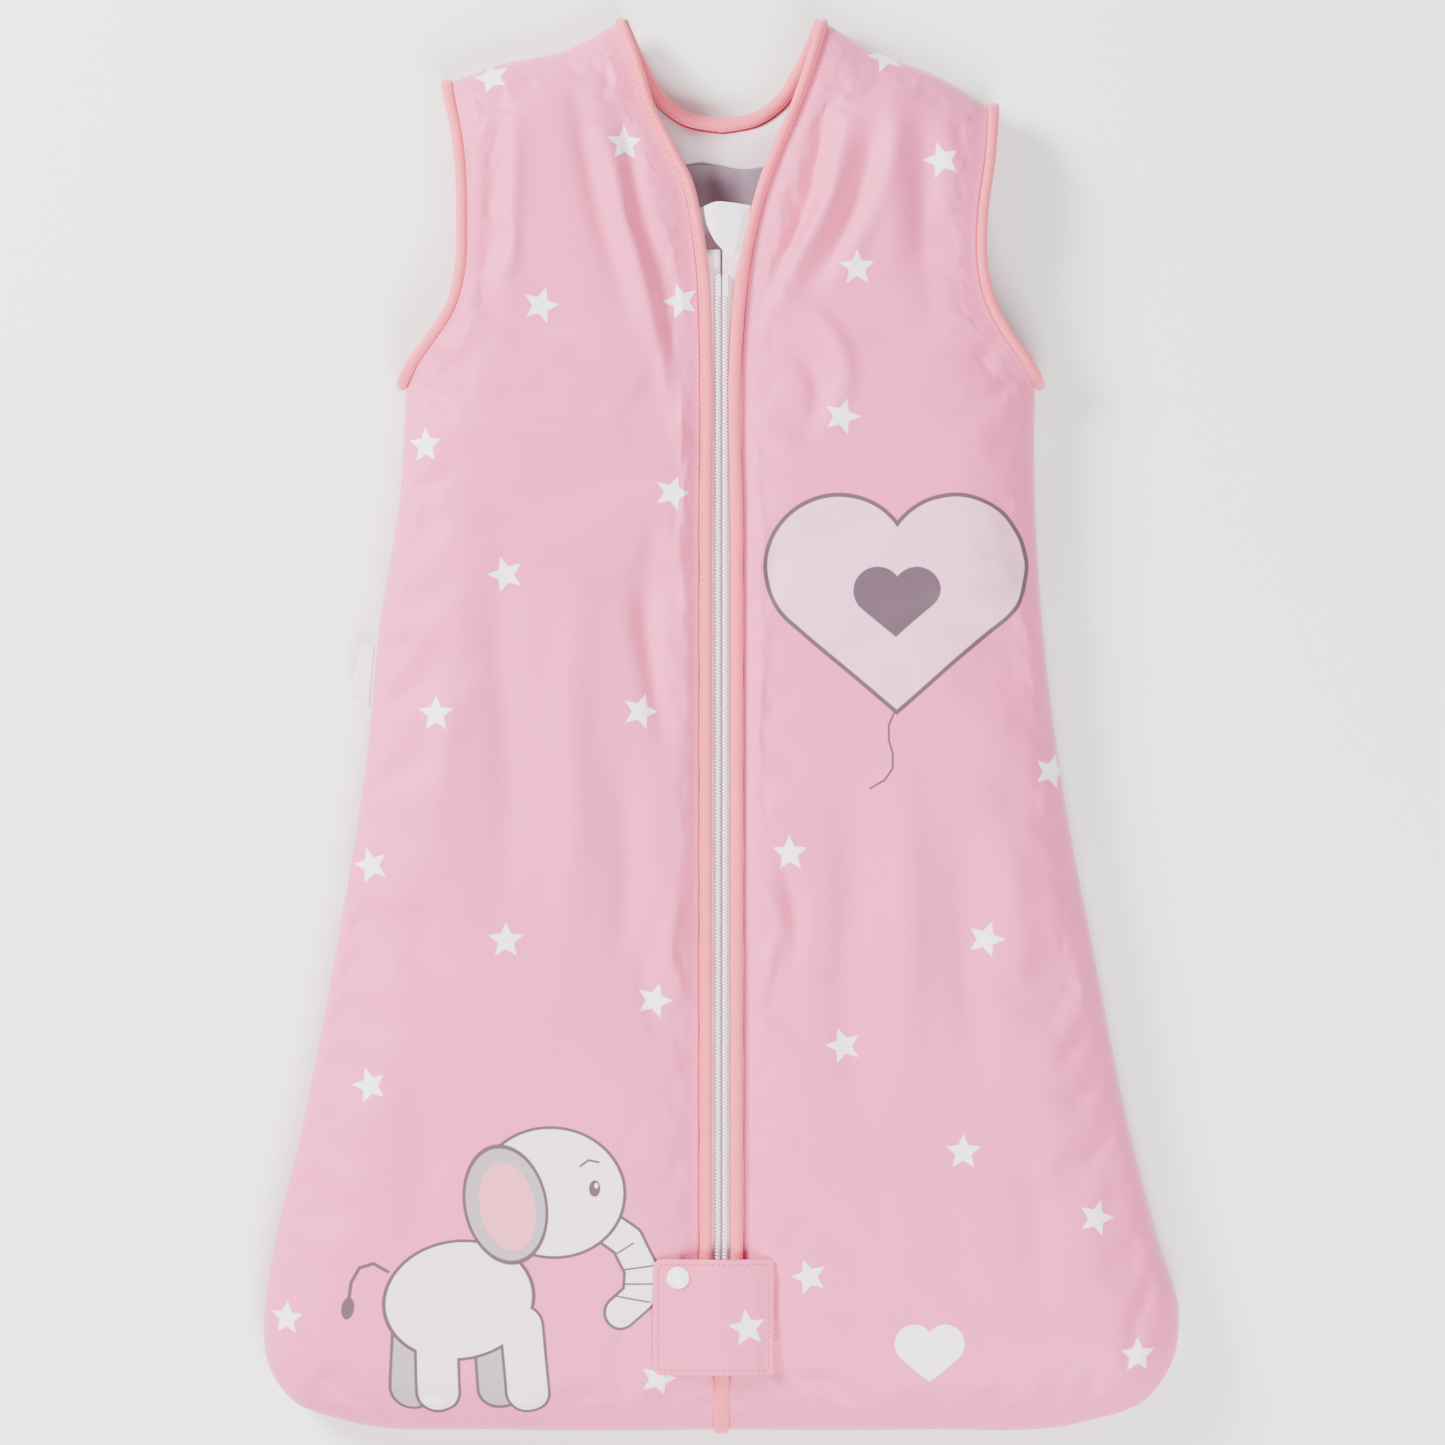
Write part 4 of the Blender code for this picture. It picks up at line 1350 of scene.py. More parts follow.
@dataclass(frozen=True)
class BackHeights:
    """Height rules of the back, in millimetres at plan points."""

    halves: tuple[Outline, Outline] = (Outline(Side.LEFT), Outline(Side.RIGHT))

    def seams(self, points: np.ndarray) -> np.ndarray:
        """Distance to the nearest closed seam of either half.

        Args:
            points: plan points, one row each.

        Returns:
            One distance for each point.
        """
        lines = [line for half in self.halves for line in (*half.seams(), half.shoulder())]
        return distance_to(points, *lines)

    def held(self, points: np.ndarray) -> np.ndarray:
        """1 at an armhole or the neck, falling to 0 away from it."""
        lines = [line for half in self.halves for line in (half.armhole(), half.back_neck())]
        return 1 - ease(distance_to(points, *lines) / 12.0)

    def top(self, points: np.ndarray) -> np.ndarray:
        """Upper height of the back cover."""
        free = ease(self.seams(points) / 14.0)
        return BACK_TOP_Z - 2.4 * self.held(points) * free + 0.25 * free * soft_noise(points, 40.0, 5.0)

    def under(self, points: np.ndarray) -> np.ndarray:
        """Lower height of the back cover, flat where it rests.

        Args:
            points: plan points, one row each.

        Returns:
            One height for each point, in millimetres.
        """
        rim = 1 - roll(self.seams(points), BACK_ROLL)
        held = self.held(points)
        return np.maximum(0.0, (BACK_TOP_Z - 0.5) * rim + 3.6 * held * (1 - rim))

    def lining_under(self, points: np.ndarray) -> np.ndarray:
        """Lower height of the back lining."""
        return self.top(points) + 0.12

    def lining_top(self, points: np.ndarray) -> np.ndarray:
        """Upper height of the back lining, with slight creases."""
        return self.lining_under(points) + 0.8 + 0.35 * (1 + soft_noise(points, 26.0, 2.0))


# --- shared by the sub-assemblies -----------------------------------------------------------
def stand_for(nodes: Sequence[str]) -> None:
    """Hides the CAD nodes that a piece replaces.

    Args:
        nodes: the CAD nodes, if it replaces any.
    """
    if nodes:
        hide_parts(*nodes)


def settle(piece: bpy.types.Object, body: str, slot: str, *nodes: str) -> bpy.types.Object:
    """Puts a finished piece on a body and hides the CAD nodes it replaces.

    Args:
        piece: the finished piece.
        body: the body it rides on.
        slot: not used.
        nodes: the CAD nodes it replaces.

    Returns:
        The piece.
    """
    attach(piece, body)
    stand_for(nodes)
    LOG.info("%s rides on %s", piece.name, body)
    return piece


def bend_at_fold(piece: bpy.types.Object, side: Side, slot: str, *nodes: str) -> bpy.types.Object:
    """Bakes a finished piece's placement into its mesh and hides the CAD nodes it replaces; the ends of
    its lapel's fold line are worked out but not used.

    Args:
        piece: the finished piece.
        side: its half of the bag.
        slot: not used.
        nodes: the CAD nodes it replaces.

    Returns:
        The piece.
    """
    foot, head = Vector((*FOLD_FOOT, 0)), Vector((*FOLD_HEAD, 0))
    way = (head - foot).normalized()
    inward = Vector((-way.y, way.x, 0))
    middle = (foot + head) / 2
    start, end = middle - inward * BEND_OUTSIDE, middle + inward * BEND_INSIDE
    flip = Vector((side.value, 1, 1))
    lift = Vector((0, 0, FOLD_Z))
    tuple((start * flip + lift) * MM)
    tuple((end * flip + lift) * MM)
    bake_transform(piece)
    stand_for(nodes)
    LOG.info("%s bends at the %s fold", piece.name, side.word)
    return piece


def at_height(steps: Plan, where: np.ndarray) -> np.ndarray:
    """Values that run evenly between (y, value) steps."""
    places, values = zip(*steps)
    return np.interp(where, places, values)


# --- sub-assemblies ---------------------------------------------------------------------------
@dataclass(frozen=True)
class FrontHalf:
    """One padded front: cover, lining and what they stand for."""

    side: Side
    cover_faces: tuple[int, int] = (52, 150)
    lining_faces: tuple[int, int] = (44, 130)
    lining_u: tuple[float, float] = (0.004, 0.915)
    lining_v: tuple[float, float] = (0.03, 0.965)
    lining_depths: tuple[float, float] = (0.9, 1.8)
    lining_flat: tuple[float, float] = (0.222, 0.700)
    lining_area: float = 0.1045

    def held(self, cover: bpy.types.Object, outline: Outline) -> np.ndarray:
        """How firmly each vertex of the cover is held: the underside and every edge.

        Args:
            cover: the cover, its lower vertices first.
            outline: its edges.

        Returns:
            One share for each vertex.
        """
        plan = np.array([v.co[:2] for v in cover.data.vertices]) / MM
        upper = np.arange(len(plan)) >= len(plan) // 2
        gap = distance_to(plan, *outline.seams(), outline.shoulder(), outline.armhole(),
                          outline.front_edge())
        return np.where(upper, 1 - ease((gap - 3.0) / 11.0), 1.0)

    def build(self, finishes: Finishes) -> None:
        """Makes the cover and the lining.

        Args:
            finishes: the bag's finishes.
        """
        outline = Outline(self.side)
        heights = Heights(outline)
        patch = outline.front_patch()
        word = self.side.word
        cover = slab(f"front_cover_{word}", patch, self.cover_faces, heights.front_top,
                     heights.front_under, finishes.front[self.side], crowd=0.55,
                     star_centres=star_places(self.side))
        Stuffing().fill(cover, self.held(cover, outline))
        subdivide(cover)
        bend_at_fold(cover, self.side, "pink_jersey", f"front_{word}_shell",
                     f"front_{word}_wadding", f"{word}_lapel_shell", f"{word}_lapel_wadding",
                     f"{word}_side_seam", f"{word}_hem_seam", f"{word}_shoulder_seam")
        lining = slab(f"front_lining_{word}", patch, self.lining_faces,
                      lambda p: heights.front_under(p) - self.lining_depths[0],
                      lambda p: heights.front_under(p) - self.lining_depths[1], finishes.lining,
                      u_span=self.lining_u, v_span=self.lining_v, crowd=0.4)
        bend_at_fold(lining, self.side, "pale_lining", f"front_{word}_lining",
                     f"{word}_lapel_lining")


@dataclass(frozen=True)
class Back:
    """The padded back, its lining and the binding of its neck."""

    cover_faces: tuple[int, int] = (84, 120)
    lining_faces: tuple[int, int] = (60, 90)
    lining_flat: tuple[float, float] = (0.450, 0.695)
    lining_area: float = 0.2280
    neck_step: float = 2.5
    neck_offset: float = 3.0
    neck_half_width: float = 3.5
    neck_height: float = 13.2

    def build(self, finishes: Finishes) -> None:
        """Makes the cover, the lining and the neck binding.

        Args:
            finishes: the bag's finishes.
        """
        heights = BackHeights()
        patch = back_patch()
        cover = slab("back_cover", patch, self.cover_faces, heights.top, heights.under,
                     finishes.jersey, crowd=0.5, star_centres=back_star_places())
        subdivide(cover)
        settle(cover, "bag", "pink_jersey", "back_shell", "back_wadding")
        lining = slab("back_lining_sheet", patch, self.lining_faces, heights.lining_top,
                      heights.lining_under, finishes.lining, u_span=(0.02, 0.98),
                      v_span=(0.015, 0.9975))
        settle(lining, "bag", "pale_lining", "back_lining")
        self.bind_neck(finishes)

    def bind_neck(self, finishes: Finishes) -> None:
        """Rolls the binding round the back's neck edge.

        Args:
            finishes: the bag's finishes.
        """
        left, right = Outline(Side.LEFT).back_neck(), Outline(Side.RIGHT).back_neck()
        edge = evenly(np.vstack([left, right[::-1][1:]]), self.neck_step)
        out = -normals_of(edge)
        plan = edge + out * self.neck_offset
        rise = roll(BackHeights().seams(edge), 30.0)
        z = self.neck_height - 2.6 * rise
        strip = Roll(np.column_stack([plan, z]), np.column_stack([out, np.zeros(len(out))]),
                     np.full(len(plan), self.neck_half_width), 2.3 + 0.8 * rise)
        binding = tube("back_neck_roll", strip, finishes.binding, pinch=0.1)
        settle(binding, "bag", "coral_binding", "back_neck_binding")
        row = stitches("back_neck_stitches", strip.section(math.pi - SEWN_ANGLE, STITCH_SINK),
                       strip.upward(), finishes.thread)
        settle(row, "bag", "coral_binding")


@dataclass(frozen=True)
class FrontBinding:
    """The rolled binding of one front edge, from the zip's foot to the neck point.

    `offsets`, `middles`, `half_heights` and `half_widths` are (y, value) steps.
    """

    side: Side
    step: float = 2.5
    offsets: Plan = ((-302, 3.1), (205, 3.1), (262, 2.5), (355, 2.3))
    middles: Plan = ((-302, 34.7), (215, 34.7), (262, 33.2), (355, 33.2))
    half_heights: Plan = ((-302, 1.85), (215, 1.9), (262, 3.0), (355, 3.0))
    half_widths: Plan = ((-302, 3.25), (205, 3.15), (262, 2.75), (355, 2.6))
    seam_height: float = 13.4
    flat_below: float = -240.0

    def strip(self) -> Roll:
        """Middle line and section of the binding.

        Returns:
            The strip, from the foot to the neck point.
        """
        outline = Outline(self.side)
        edge = evenly(outline.front_edge(), self.step)
        y = edge[:, 1]
        inward = normals_of(edge) * -self.side.value
        plan = edge + inward * at_height(self.offsets, y)[:, None]
        rise = roll(outline.seam_distance(edge), TOP_ROLL)
        rise = np.where(y < self.flat_below, 1.0, rise)
        tall = at_height(self.half_heights, y)
        z = self.seam_height + (at_height(self.middles, y) - self.seam_height) * rise
        along = np.arange(len(edge)) * self.step
        wide = at_height(self.half_widths, y)
        wide *= 1 + 0.025 * np.sin(along / 9.0) + 0.02 * np.sin(along / 4.1)
        across = np.column_stack([-inward, np.zeros(len(edge))])
        return Roll(np.column_stack([plan, z]), across, wide, tall * (0.75 + 0.25 * rise))

    def build(self, finishes: Finishes) -> None:
        """Makes the rolled binding and its row of stitches.

        Args:
            finishes: the bag's finishes.
        """
        word = self.side.word
        strip = self.strip()
        binding = tube(f"front_binding_{word}", strip, finishes.binding, pinch=0.13)
        bend_at_fold(binding, self.side, "coral_binding", f"{word}_front_binding",
                     f"{word}_neck_binding", f"{word}_zip_binding_foot")
        row = stitches(f"front_binding_stitches_{word}", strip.section(SEWN_ANGLE, STITCH_SINK),
                       strip.upward(), finishes.thread)
        bend_at_fold(row, self.side, "coral_binding")


@dataclass(frozen=True)
class ArmholeRing:
    """The binding round one armhole, along the front edge and back along the back's."""

    side: Side
    offset: float = 2.6
    half_width: float = 2.9
    half_height: tuple[float, float] = (2.2, 2.6)
    front_height: tuple[float, float] = (13.3, 17.6)
    back_height: tuple[float, float] = (13.0, -5.6)

    def strip(self) -> Roll:
        """Middle line and section of the ring.

        Returns:
            The closed strip, up the front and back down the back.
        """
        outline = Outline(self.side)
        edge = evenly(outline.armhole(), 3.0)
        out = normals_of(edge) * self.side.value
        gap = outline.seam_distance(edge)
        front = self.front_height[0] + self.front_height[1] * roll(gap, TOP_ROLL)
        back = self.back_height[0] + self.back_height[1] * roll(gap, BACK_ROLL)
        plan = edge + out * self.offset
        loop = np.vstack([np.column_stack([plan, front]),
                          np.column_stack([plan, back])[::-1][1:-1]])
        across = np.vstack([out, out[::-1][1:-1]])
        across = np.column_stack([across, np.zeros(len(across))])
        tall = np.concatenate([self.half_height[0] + 0.9 * roll(gap, TOP_ROLL),
                               np.full(len(edge) - 2, self.half_height[1])])
        return Roll(loop, across, np.full(len(loop), self.half_width), tall, closed=True)

    def build(self, finishes: Finishes) -> None:
        """Makes the ring and its stitches.

        Args:
            finishes: the bag's finishes.
        """
        word = self.side.word
        strip = self.strip()
        ring = tube(f"armhole_roll_{word}", strip, finishes.binding, pinch=0.1)
        settle(ring, "bag", "coral_binding", f"{word}_armhole_binding_front",
               f"{word}_armhole_binding_back")
        count = (len(strip.centre) + 2) // 2
        seen = Roll(strip.centre[2:count - 2], strip.across[2:count - 2],
                    strip.half_width[2:count - 2], strip.half_height[2:count - 2])
        row = stitches(f"armhole_stitches_{word}",
                       seen.section(math.pi - SEWN_ANGLE, STITCH_SINK), seen.upward(),
                       finishes.thread)
        settle(row, "bag", "coral_binding")


@dataclass(frozen=True)
class ZipHalf:
    """Tape and wound coil of one half of the zip."""

    side: Side
    foot: float = -301.0
    tape_head: float = 235.5
    coil_foot: float = -296.0
    coil_head: float = 222.0
    tape: tuple[float, float] = (0.6, 10.0)
    coil_middle: tuple[float, float] = (1.72, 34.1)
    coil_radii: tuple[float, float] = (1.42, 0.98)
    wire: float = 0.36
    pitch: float = 1.7
    turn_steps: int = 9
    tape_faces: tuple[int, int] = (6, 132)
    tape_top: float = 32.65
    tape_under: float = 31.8
    core_samples: int = 150
    core_half: tuple[float, float] = (1.1, 0.68)
    stitch_samples: int = 210
    stitch_offset: float = 0.55
    stitch_height: float = 34.98

    def build(self, finishes: Finishes) -> None:
        """Makes the tape, the coil, its core and its sewing.

        Args:
            finishes: the bag's finishes.
        """
        word, sign = self.side.word, self.side.value
        near, far = self.tape
        rail = [np.array([(sign * x, self.foot), (sign * x, self.tape_head)]) for x in (near, far)]
        ends = [np.array([rail[0][k], rail[1][k]]) for k in (0, -1)]
        strip = Patch(rail[0], rail[1], ends[0], ends[1])
        tape = slab(f"zip_tape_{word}", strip, self.tape_faces,
                    lambda p: self.tape_top + 0.12 * np.cos(p[:, 0] * 1.3),
                    lambda p: self.tape_under + 0 * p[:, 0], finishes.tape)
        bend_at_fold(tape, self.side, "zip_tape", f"{word}_zip_tape", f"{word}_zip_tape_foot")
        coil = self.wind(finishes)
        bend_at_fold(coil, self.side, "zip_plastic", f"{word}_zip_coil", f"{word}_zip_coil_foot")
        count = self.core_samples
        y = np.linspace(self.coil_foot, self.coil_head, count)
        line = np.column_stack([np.full(count, sign * self.coil_middle[0]), y,
                                np.full(count, self.coil_middle[1])])
        core = Roll(line, np.tile([1.0, 0.0, 0.0], (count, 1)),
                    np.full(count, self.core_half[0]), np.full(count, self.core_half[1]))
        cord = tube(f"zip_core_{word}", core, finishes.tape, sides=8)
        bend_at_fold(cord, self.side, "zip_tape")
        count = self.stitch_samples
        y = np.linspace(self.coil_foot, self.coil_head, count)
        x = np.full(count, sign * (self.coil_middle[0] + self.stitch_offset))
        line = np.column_stack([x, y, np.full(count, self.stitch_height)])
        up = np.tile([0.0, 0.0, 1.0], (count, 1))
        row = stitches(f"zip_sewing_{word}", line, up, finishes.tape, 1.7, (0.75, 0.2, 0.16))
        bend_at_fold(row, self.side, "zip_tape")

    def wind(self, finishes: Finishes) -> bpy.types.Object:
        """Winds the coil as one wire.

        Args:
            finishes: the bag's finishes.

        Returns:
            The coil of this half.
        """
        turns = (self.coil_head - self.coil_foot) / self.pitch
        count = int(turns * self.turn_steps)
        angle = np.linspace(0, 2 * math.pi * turns, count)
        radial = np.column_stack([np.cos(angle), np.zeros(count), np.sin(angle)])
        radii = np.array([self.coil_radii[0], 0, self.coil_radii[1]])
        centre = radial * radii
        centre[:, 0] += self.side.value * self.coil_middle[0]
        centre[:, 1] = np.linspace(self.coil_foot, self.coil_head, count)
        centre[:, 2] += self.coil_middle[1]
        wire = Roll(centre, radial, np.full(count, self.wire), np.full(count, self.wire))
        return tube(f"zip_coil_{self.side.word}", wire, finishes.coil, sides=5)


@dataclass(frozen=True)
class Flap:
    """The guard flap over the zip's foot, with its facing and its snap."""

    x: tuple[float, float] = (-34.0, 26.0)
    y: tuple[float, float] = (-322.5, -265.0)
    cloth: float = 0.9
    gap: float = 0.3
    stitch_inset: float = 2.6
    snap: tuple[float, float] = (-21.5, -274.0)
    hinge_start: tuple[float, float, float] = (0.0268, -0.29375, 0.0386)
    hinge_end: tuple[float, float, float] = (0.0205, -0.29375, 0.0386)
    star: tuple[float, float, float] = (12.8, -299.0, 0.15)
    facing_inset: float = 0.8
    corner: float = 4.0
    free_height: float = 36.9
    sewn_height: float = 39.6
    crown_half: float = 16.0
    crown_height: float = 2.2
    snap_profile: Plan = ((0.0, 1.55), (2.4, 1.5), (3.2, 1.12), (3.9, 1.05), (4.9, 1.3),
                          (5.5, 0.95), (5.6, 0.35), (5.3, 0.0), (0.0, 0.0))

    def edge(self, inset: float, step: float = 3.0) -> np.ndarray:
        """The flap's outline moved in, with rounded corners on its free side.

        Args:
            inset: how far it moves in.
            step: distance from sample to sample.

        Returns:
            The closed outline, from its sewn edge round.
        """
        x0, x1 = self.x[0] + inset, self.x[1] - inset
        y0, y1 = self.y[0] + inset, self.y[1] - inset
        points = [(x1, y0), (x1, y1)]
        radius = max(1.0, self.corner - inset)
        for cx, cy, begin in ((x0 + radius, y1 - radius, 90), (x0 + radius, y0 + radius, 180)):
            for k in range(5):
                a = math.radians(begin + 22.5 * k)
                points.append((cx + radius * math.cos(a), cy + radius * math.sin(a)))
        points.append(points[0])
        return evenly(np.array(points), step)

    def top(self, points: np.ndarray) -> np.ndarray:
        """Upper height of the flap.

        Args:
            points: plan points, one row each.

        Returns:
            One height for each point, in millimetres.
        """
        x, y = points[:, 0], points[:, 1]
        arch = self.crown_height * np.cos(np.pi * x / (2 * self.crown_half)) ** 2
        crown = np.where(np.abs(x) < self.crown_half, arch, 0.0)
        sewn = ease((self.x[1] - x) / 12.0)
        base = self.free_height + (self.sewn_height - self.free_height) * sewn
        droop = 0.8 * ease((-24.0 - x) / 12.0) * ease(np.abs(y - self.snap[1]) / 30.0)
        ripple = 0.35 * soft_noise(points, 15.0, 4.0) + 0.25 * np.sin(y / 5.2) * sewn
        ripple = ripple * ease((np.hypot(x - self.snap[0], y - self.snap[1]) - 6) / 6)
        return base + crown + 2 * self.cloth + self.gap - droop + ripple

    def patch(self, inset: float) -> Patch:
        """The flap's area, its free corners rounded.

        Args:
            inset: how far its edges move in.

        Returns:
            The area, from the free edge to the sewn one.
        """
        line = self.edge(inset, 1.0)
        x0, x1 = self.x[0] + inset, self.x[1] - inset
        y0, y1 = self.y[0] + inset, self.y[1] - inset
        cut = [int(np.argmin(np.hypot(line[:, 0] - a, line[:, 1] - b)))
               for a, b in ((x1, y1), (x0 + 1.2, y1 - 1.2), (x0 + 1.2, y0 + 1.2))]
        sewn, above = line[: cut[0] + 1], line[cut[0]: cut[1] + 1]
        free, below = line[cut[1]: cut[2] + 1], line[cut[2]:]
        return Patch(free[::-1], sewn, below, above[::-1])

    def build(self, finishes: Finishes) -> None:
        """Makes the two cloth layers, the topstitching and the snap.

        Args:
            finishes: the bag's finishes.
        """
        cloth = slab("flap_sheet", self.patch(0.0), (30, 30), self.top,
                     lambda p: self.top(p) - self.cloth, finishes.flap,
                     crowd=0.3, star_centres=[self.star])
        subdivide(cloth)
        facing = slab("flap_lining", self.patch(self.facing_inset), (20, 20),
                      lambda p: self.top(p) - self.cloth - self.gap,
                      lambda p: self.top(p) - 2 * self.cloth - self.gap, finishes.lining, crowd=0.3)
        line = self.edge(self.stitch_inset)
        ring = np.column_stack([line, self.top(line) + 0.05])
        row = stitches("flap_stitches", ring, np.tile([0.0, 0.0, 1.0], (len(ring), 1)),
                       finishes.thread, 2.9, (1.1, 0.34, 0.24))
        for piece, slot, nodes in ((cloth, "pink_jersey", ["flap_cloth"]),
                                   (facing, "pale_lining", ["flap_facing"]),
                                   (row, "pink_jersey", [])):
            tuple(self.hinge_start)
            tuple(self.hinge_end)
            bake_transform(piece)
            stand_for(nodes)
            LOG.info("%s bends at the flap's sewn edge", piece.name)
        self.turn_cap(finishes)

    def turn_cap(self, finishes: Finishes) -> None:
        """Turns the snap's dished cap.

        Args:
            finishes: the bag's finishes.
        """
        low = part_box("snap_cap")[0].z
        bm = bmesh.new()
        verts = [bm.verts.new((r * MM, 0, z * MM)) for r, z in self.snap_profile]
        for a, b in zip(verts[:-1], verts[1:]):
            bm.edges.new((a, b))
        bmesh.ops.spin(bm, geom=[*bm.verts, *bm.edges], cent=(0, 0, 0), axis=(0, 0, 1),
                       angle=2 * math.pi, steps=48, use_merge=True, use_normal_flip=False,
                       use_duplicate=False)
        bmesh.ops.remove_doubles(bm, verts=list(bm.verts), dist=1e-6)
        bmesh.ops.recalc_face_normals(bm, faces=list(bm.faces))
        place = Matrix.Translation((self.snap[0] * MM, self.snap[1] * MM, low + 0.0001))
        bmesh.ops.transform(bm, matrix=place, verts=list(bm.verts))
        cap = finish_mesh(bm, "snap_button", finishes.snap)
        settle(cap, "flap", "snap_plastic", "snap_cap")


MOULDED_NODES = ("slider_body", "pull_tab", "zip_bottom_stop", "zip_insertion_pin",
                 "zip_retainer_box")
SNAP_NODES = ("snap_socket", "snap_stud")


@dataclass(frozen=True)
class Trims:
    """Hem strip, chin guard, labels and the moulded parts kept from the frame."""

    strip_head: float = -307.0
    strip_half: float = 3.8
    strip_neck: float = -321.5
    strip_spread: float = 4.4
    strip_foot: float = -353.6
    strip_thick: float = 1.3
    guard_left: Plan = ((-3.6, 240.0), (-7.2, 247.5), (-8.9, 256.8))
    guard_right: Plan = ((8.6, 228.9), (11.4, 240.0), (14.6, 257.4))
    guard_foot: Plan = ((-3.6, 240.0), (1.6, 234.2), (8.6, 228.9))
    guard_head: Plan = ((-8.9, 256.8), (-3.2, 259.2), (5.0, 258.8), (14.6, 257.4))
    guard_height: float = 34.9
    guard_thick: float = 0.9
    label_x: tuple[float, float] = (-20.0, 21.5)
    label_y: tuple[float, float] = (258.5, 279.0)
    label_lifts: tuple[float, float] = (1.0, 0.35)
    side_label: Plan = ((-186.0, 14.0), (-175.9, 8.0), (-173.4, 39.0), (-179.5, 41.0))
    side_label_heights: tuple[float, float] = (12.3, 11.5)

    def build(self, finishes: Finishes) -> None:
        """Makes the small sewn pieces and refinishes the moulded ones.

        Args:
            finishes: the bag's finishes.
        """
        self.hem_strip(finishes)
        self.chin_guard(finishes)
        self.labels(finishes)
        for nodes, material in ((MOULDED_NODES, finishes.plastic), (SNAP_NODES, finishes.snap)):
            for node in nodes:
                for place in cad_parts[node].material_slots:
                    place.material = material

    def hem_strip(self, finishes: Finishes) -> None:
        """Lays the coral strip from the flap over the hem.

        Args:
            finishes: the bag's finishes.
        """
        y = np.linspace(self.strip_head, self.strip_foot, 32)
        rise = roll(np.abs(y - self.strip_foot + 0.2), TOP_ROLL)
        z = SEAM_Z + 0.4 + (FRONT_TOP_Z - SEAM_Z - 1.0) * rise
        across = np.tile([1.0, 0.0, 0.0], (len(y), 1))
        under_flap = self.strip_spread * ease((y - self.strip_neck) / 9.0)
        wide = self.strip_half * (1 + 0.03 * np.sin(y / 2.5)) + under_flap
        strip = Roll(np.column_stack([np.zeros(len(y)), y, z]), across, wide,
                     np.full(len(y), self.strip_thick))
        piece = tube("hem_binding_strip", strip, finishes.binding, pinch=0.0)
        settle(piece, "bag", "coral_binding", "hem_strip")

    def chin_guard(self, finishes: Finishes) -> None:
        """Lays the puffed satin guard at the zip's head, on the right lapel's body.

        Args:
            finishes: the bag's finishes.
        """
        edges = [smooth_line(line, 1.0) for line in (
            self.guard_left, self.guard_right, self.guard_foot, self.guard_head)]

        def top(points: np.ndarray) -> np.ndarray:
            """Upper height of the guard, slightly puffed."""
            puff = ease(distance_to(points, *edges) / 4.0)
            return self.guard_height + 1.5 * puff + 0.25 * np.sin(points[:, 1] * 0.9)

        guard = slab("chin_guard_satin", Patch(*edges), (16, 24), top,
                     lambda p: top(p) - self.guard_thick, finishes.satin, crowd=0.3)
        subdivide(guard)
        settle(guard, "right_lapel", "satin_tab", "chin_guard")

    def labels(self, finishes: Finishes) -> None:
        """Sews in the blank neck label and the blank side label.

        Args:
            finishes: the bag's finishes.
        """
        heights = BackHeights()
        (x0, x1), (y0, y1) = self.label_x, self.label_y
        wave = [(x, y1 + 1.4 * math.sin((x - x0) / (x1 - x0) * 2 * math.pi))
                for x in np.linspace(x0, x1, 13)]
        flat = Patch(np.array([(x0, y0), (x0, y1)]), np.array([(x1, y0), (x1, y1)]),
                     np.array([(x0, y0), (x1, y0)]), np.array(wave))

        def neck_level(lift: float) -> HeightRule:
            """Rule for one face of the neck label, rippled above the lining."""
            return lambda p: heights.lining_top(p) + lift + 0.2 * np.sin(p[:, 0] * 0.5)

        def side_level(height: float) -> HeightRule:
            """Rule for one face of the side label."""
            return lambda p: height + 0.3 * np.sin(p[:, 1] * 0.35)

        neck = slab("neck_label_blank", flat, (22, 16), *map(neck_level, self.label_lifts),
                    finishes.label)
        settle(neck, "bag", "grey_label", "neck_label")
        line = np.array(self.side_label)
        tab = Patch(line[[0, 3]], line[[1, 2]], line[[0, 1]], line[[3, 2]])
        side = slab("side_label_blank", tab, (8, 16),
                    *map(side_level, self.side_label_heights), finishes.satin)
        settle(side, "bag", "satin_tab", "side_label")


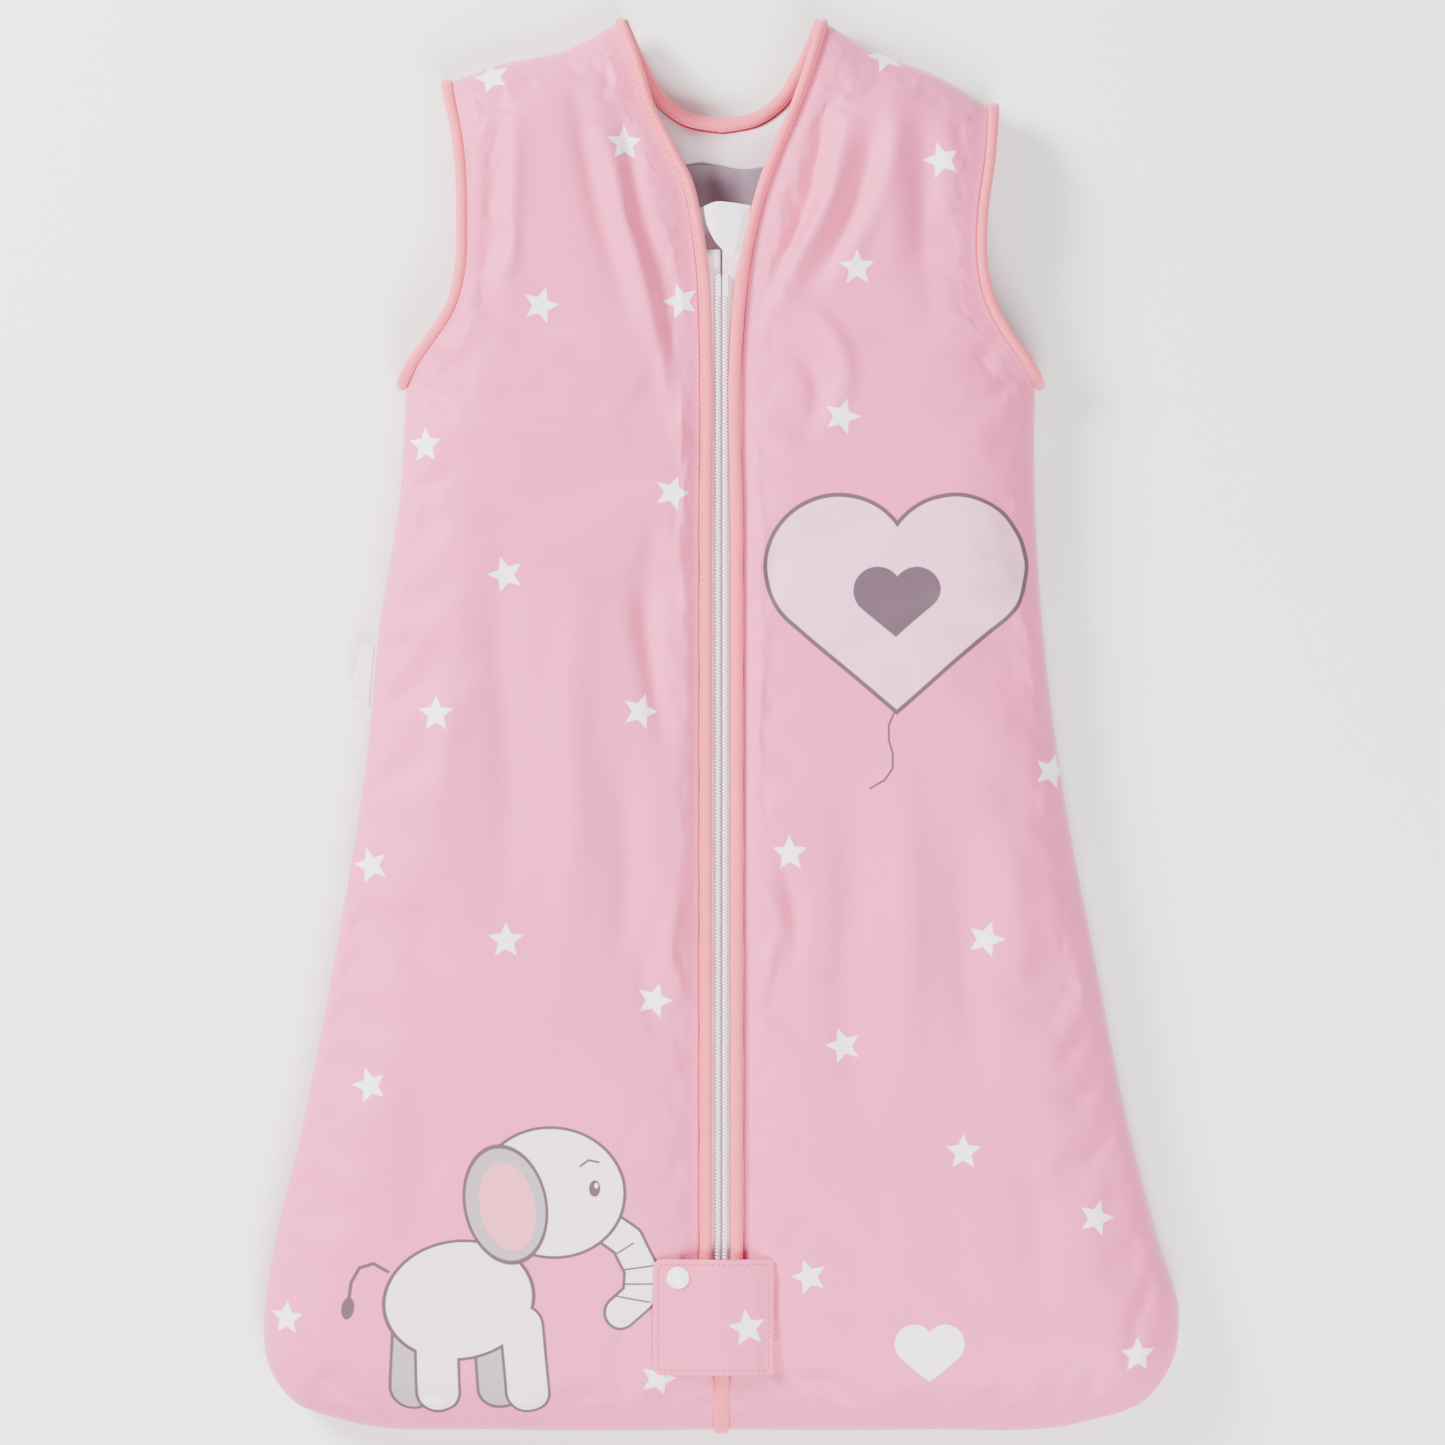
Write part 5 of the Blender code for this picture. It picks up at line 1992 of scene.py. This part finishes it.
@dataclass(frozen=True)
class Studio:
    """Camera, floor and soft light."""

    camera_at: tuple[float, float, float] = (0.0005, 0.00075, 2.615)
    lens: float = 129.55
    world: float = 0.5
    key_place: tuple[float, float, float] = (-1.7, 1.2, 1.25)
    key_size: float = 0.8
    key_power: float = 180.0
    over_place: tuple[float, float, float] = (0.5, -1.45, 1.8)
    over_size: float = 1.3
    over_power: float = 112.0
    floor_half: float = 4.0
    floor_drop: float = 0.0006

    def camera(self) -> None:
        """Sets the camera straight above the bag."""
        data = bpy.data.cameras.new("camera")
        data.lens = self.lens
        data.sensor_width = 36.0
        data.clip_start = 0.05
        eye = bpy.data.objects.new("camera", data)
        eye.location = self.camera_at
        bpy.context.scene.collection.objects.link(eye)
        bpy.context.scene.camera = eye

    def light(self, name: str, place: Vector, size: float, power: float) -> None:
        """Hangs one soft square light that faces the bag.

        Args:
            name: the light's name.
            place: where it hangs.
            size: its side, in metres.
            power: its power, in watts.
        """
        data = bpy.data.lights.new(name, "AREA")
        data.shape = "SQUARE"
        data.size = size
        data.energy = power
        lamp = bpy.data.objects.new(name, data)
        lamp.location = place
        lamp.rotation_euler = (-place).to_track_quat("-Z", "Y").to_euler()
        bpy.context.scene.collection.objects.link(lamp)

    def build(self) -> None:
        """Lays the floor and hangs the lights."""
        bm = bmesh.new()
        bmesh.ops.create_grid(bm, x_segments=2, y_segments=2, size=self.floor_half)
        bmesh.ops.translate(bm, verts=list(bm.verts), vec=(0, 0, -self.floor_drop))
        g = Graph("floor")
        tone = g.mix(g.noise(3.0), (0.93, 0.93, 0.93), (0.95, 0.95, 0.95))
        floor = finish_mesh(bm, "floor", g.dress(Base_Color=tone, Roughness=0.9))
        sky = bpy.data.worlds.new("studio")
        sky.use_nodes = True
        back = sky.node_tree.nodes["Background"]
        back.inputs["Color"].default_value = (1, 1, 1, 1)
        back.inputs["Strength"].default_value = self.world
        bpy.context.scene.world = sky
        self.light("key", Vector(self.key_place), self.key_size, self.key_power)
        self.light("overhead", Vector(self.over_place), self.over_size, self.over_power)


def main() -> None:
    """Builds the studio and the bag, from the camera to the last trim."""
    logging.basicConfig(level=logging.INFO, format="%(name)s: %(message)s")
    studio = Studio()
    studio.camera()
    studio.build()
    finishes = Finishes()
    Back().build(finishes)
    for side in Side:
        FrontHalf(side).build(finishes)
        FrontBinding(side).build(finishes)
        ArmholeRing(side).build(finishes)
        ZipHalf(side).build(finishes)
    Flap().build(finishes)
    Trims().build(finishes)


if __name__ == "__main__":
    main()
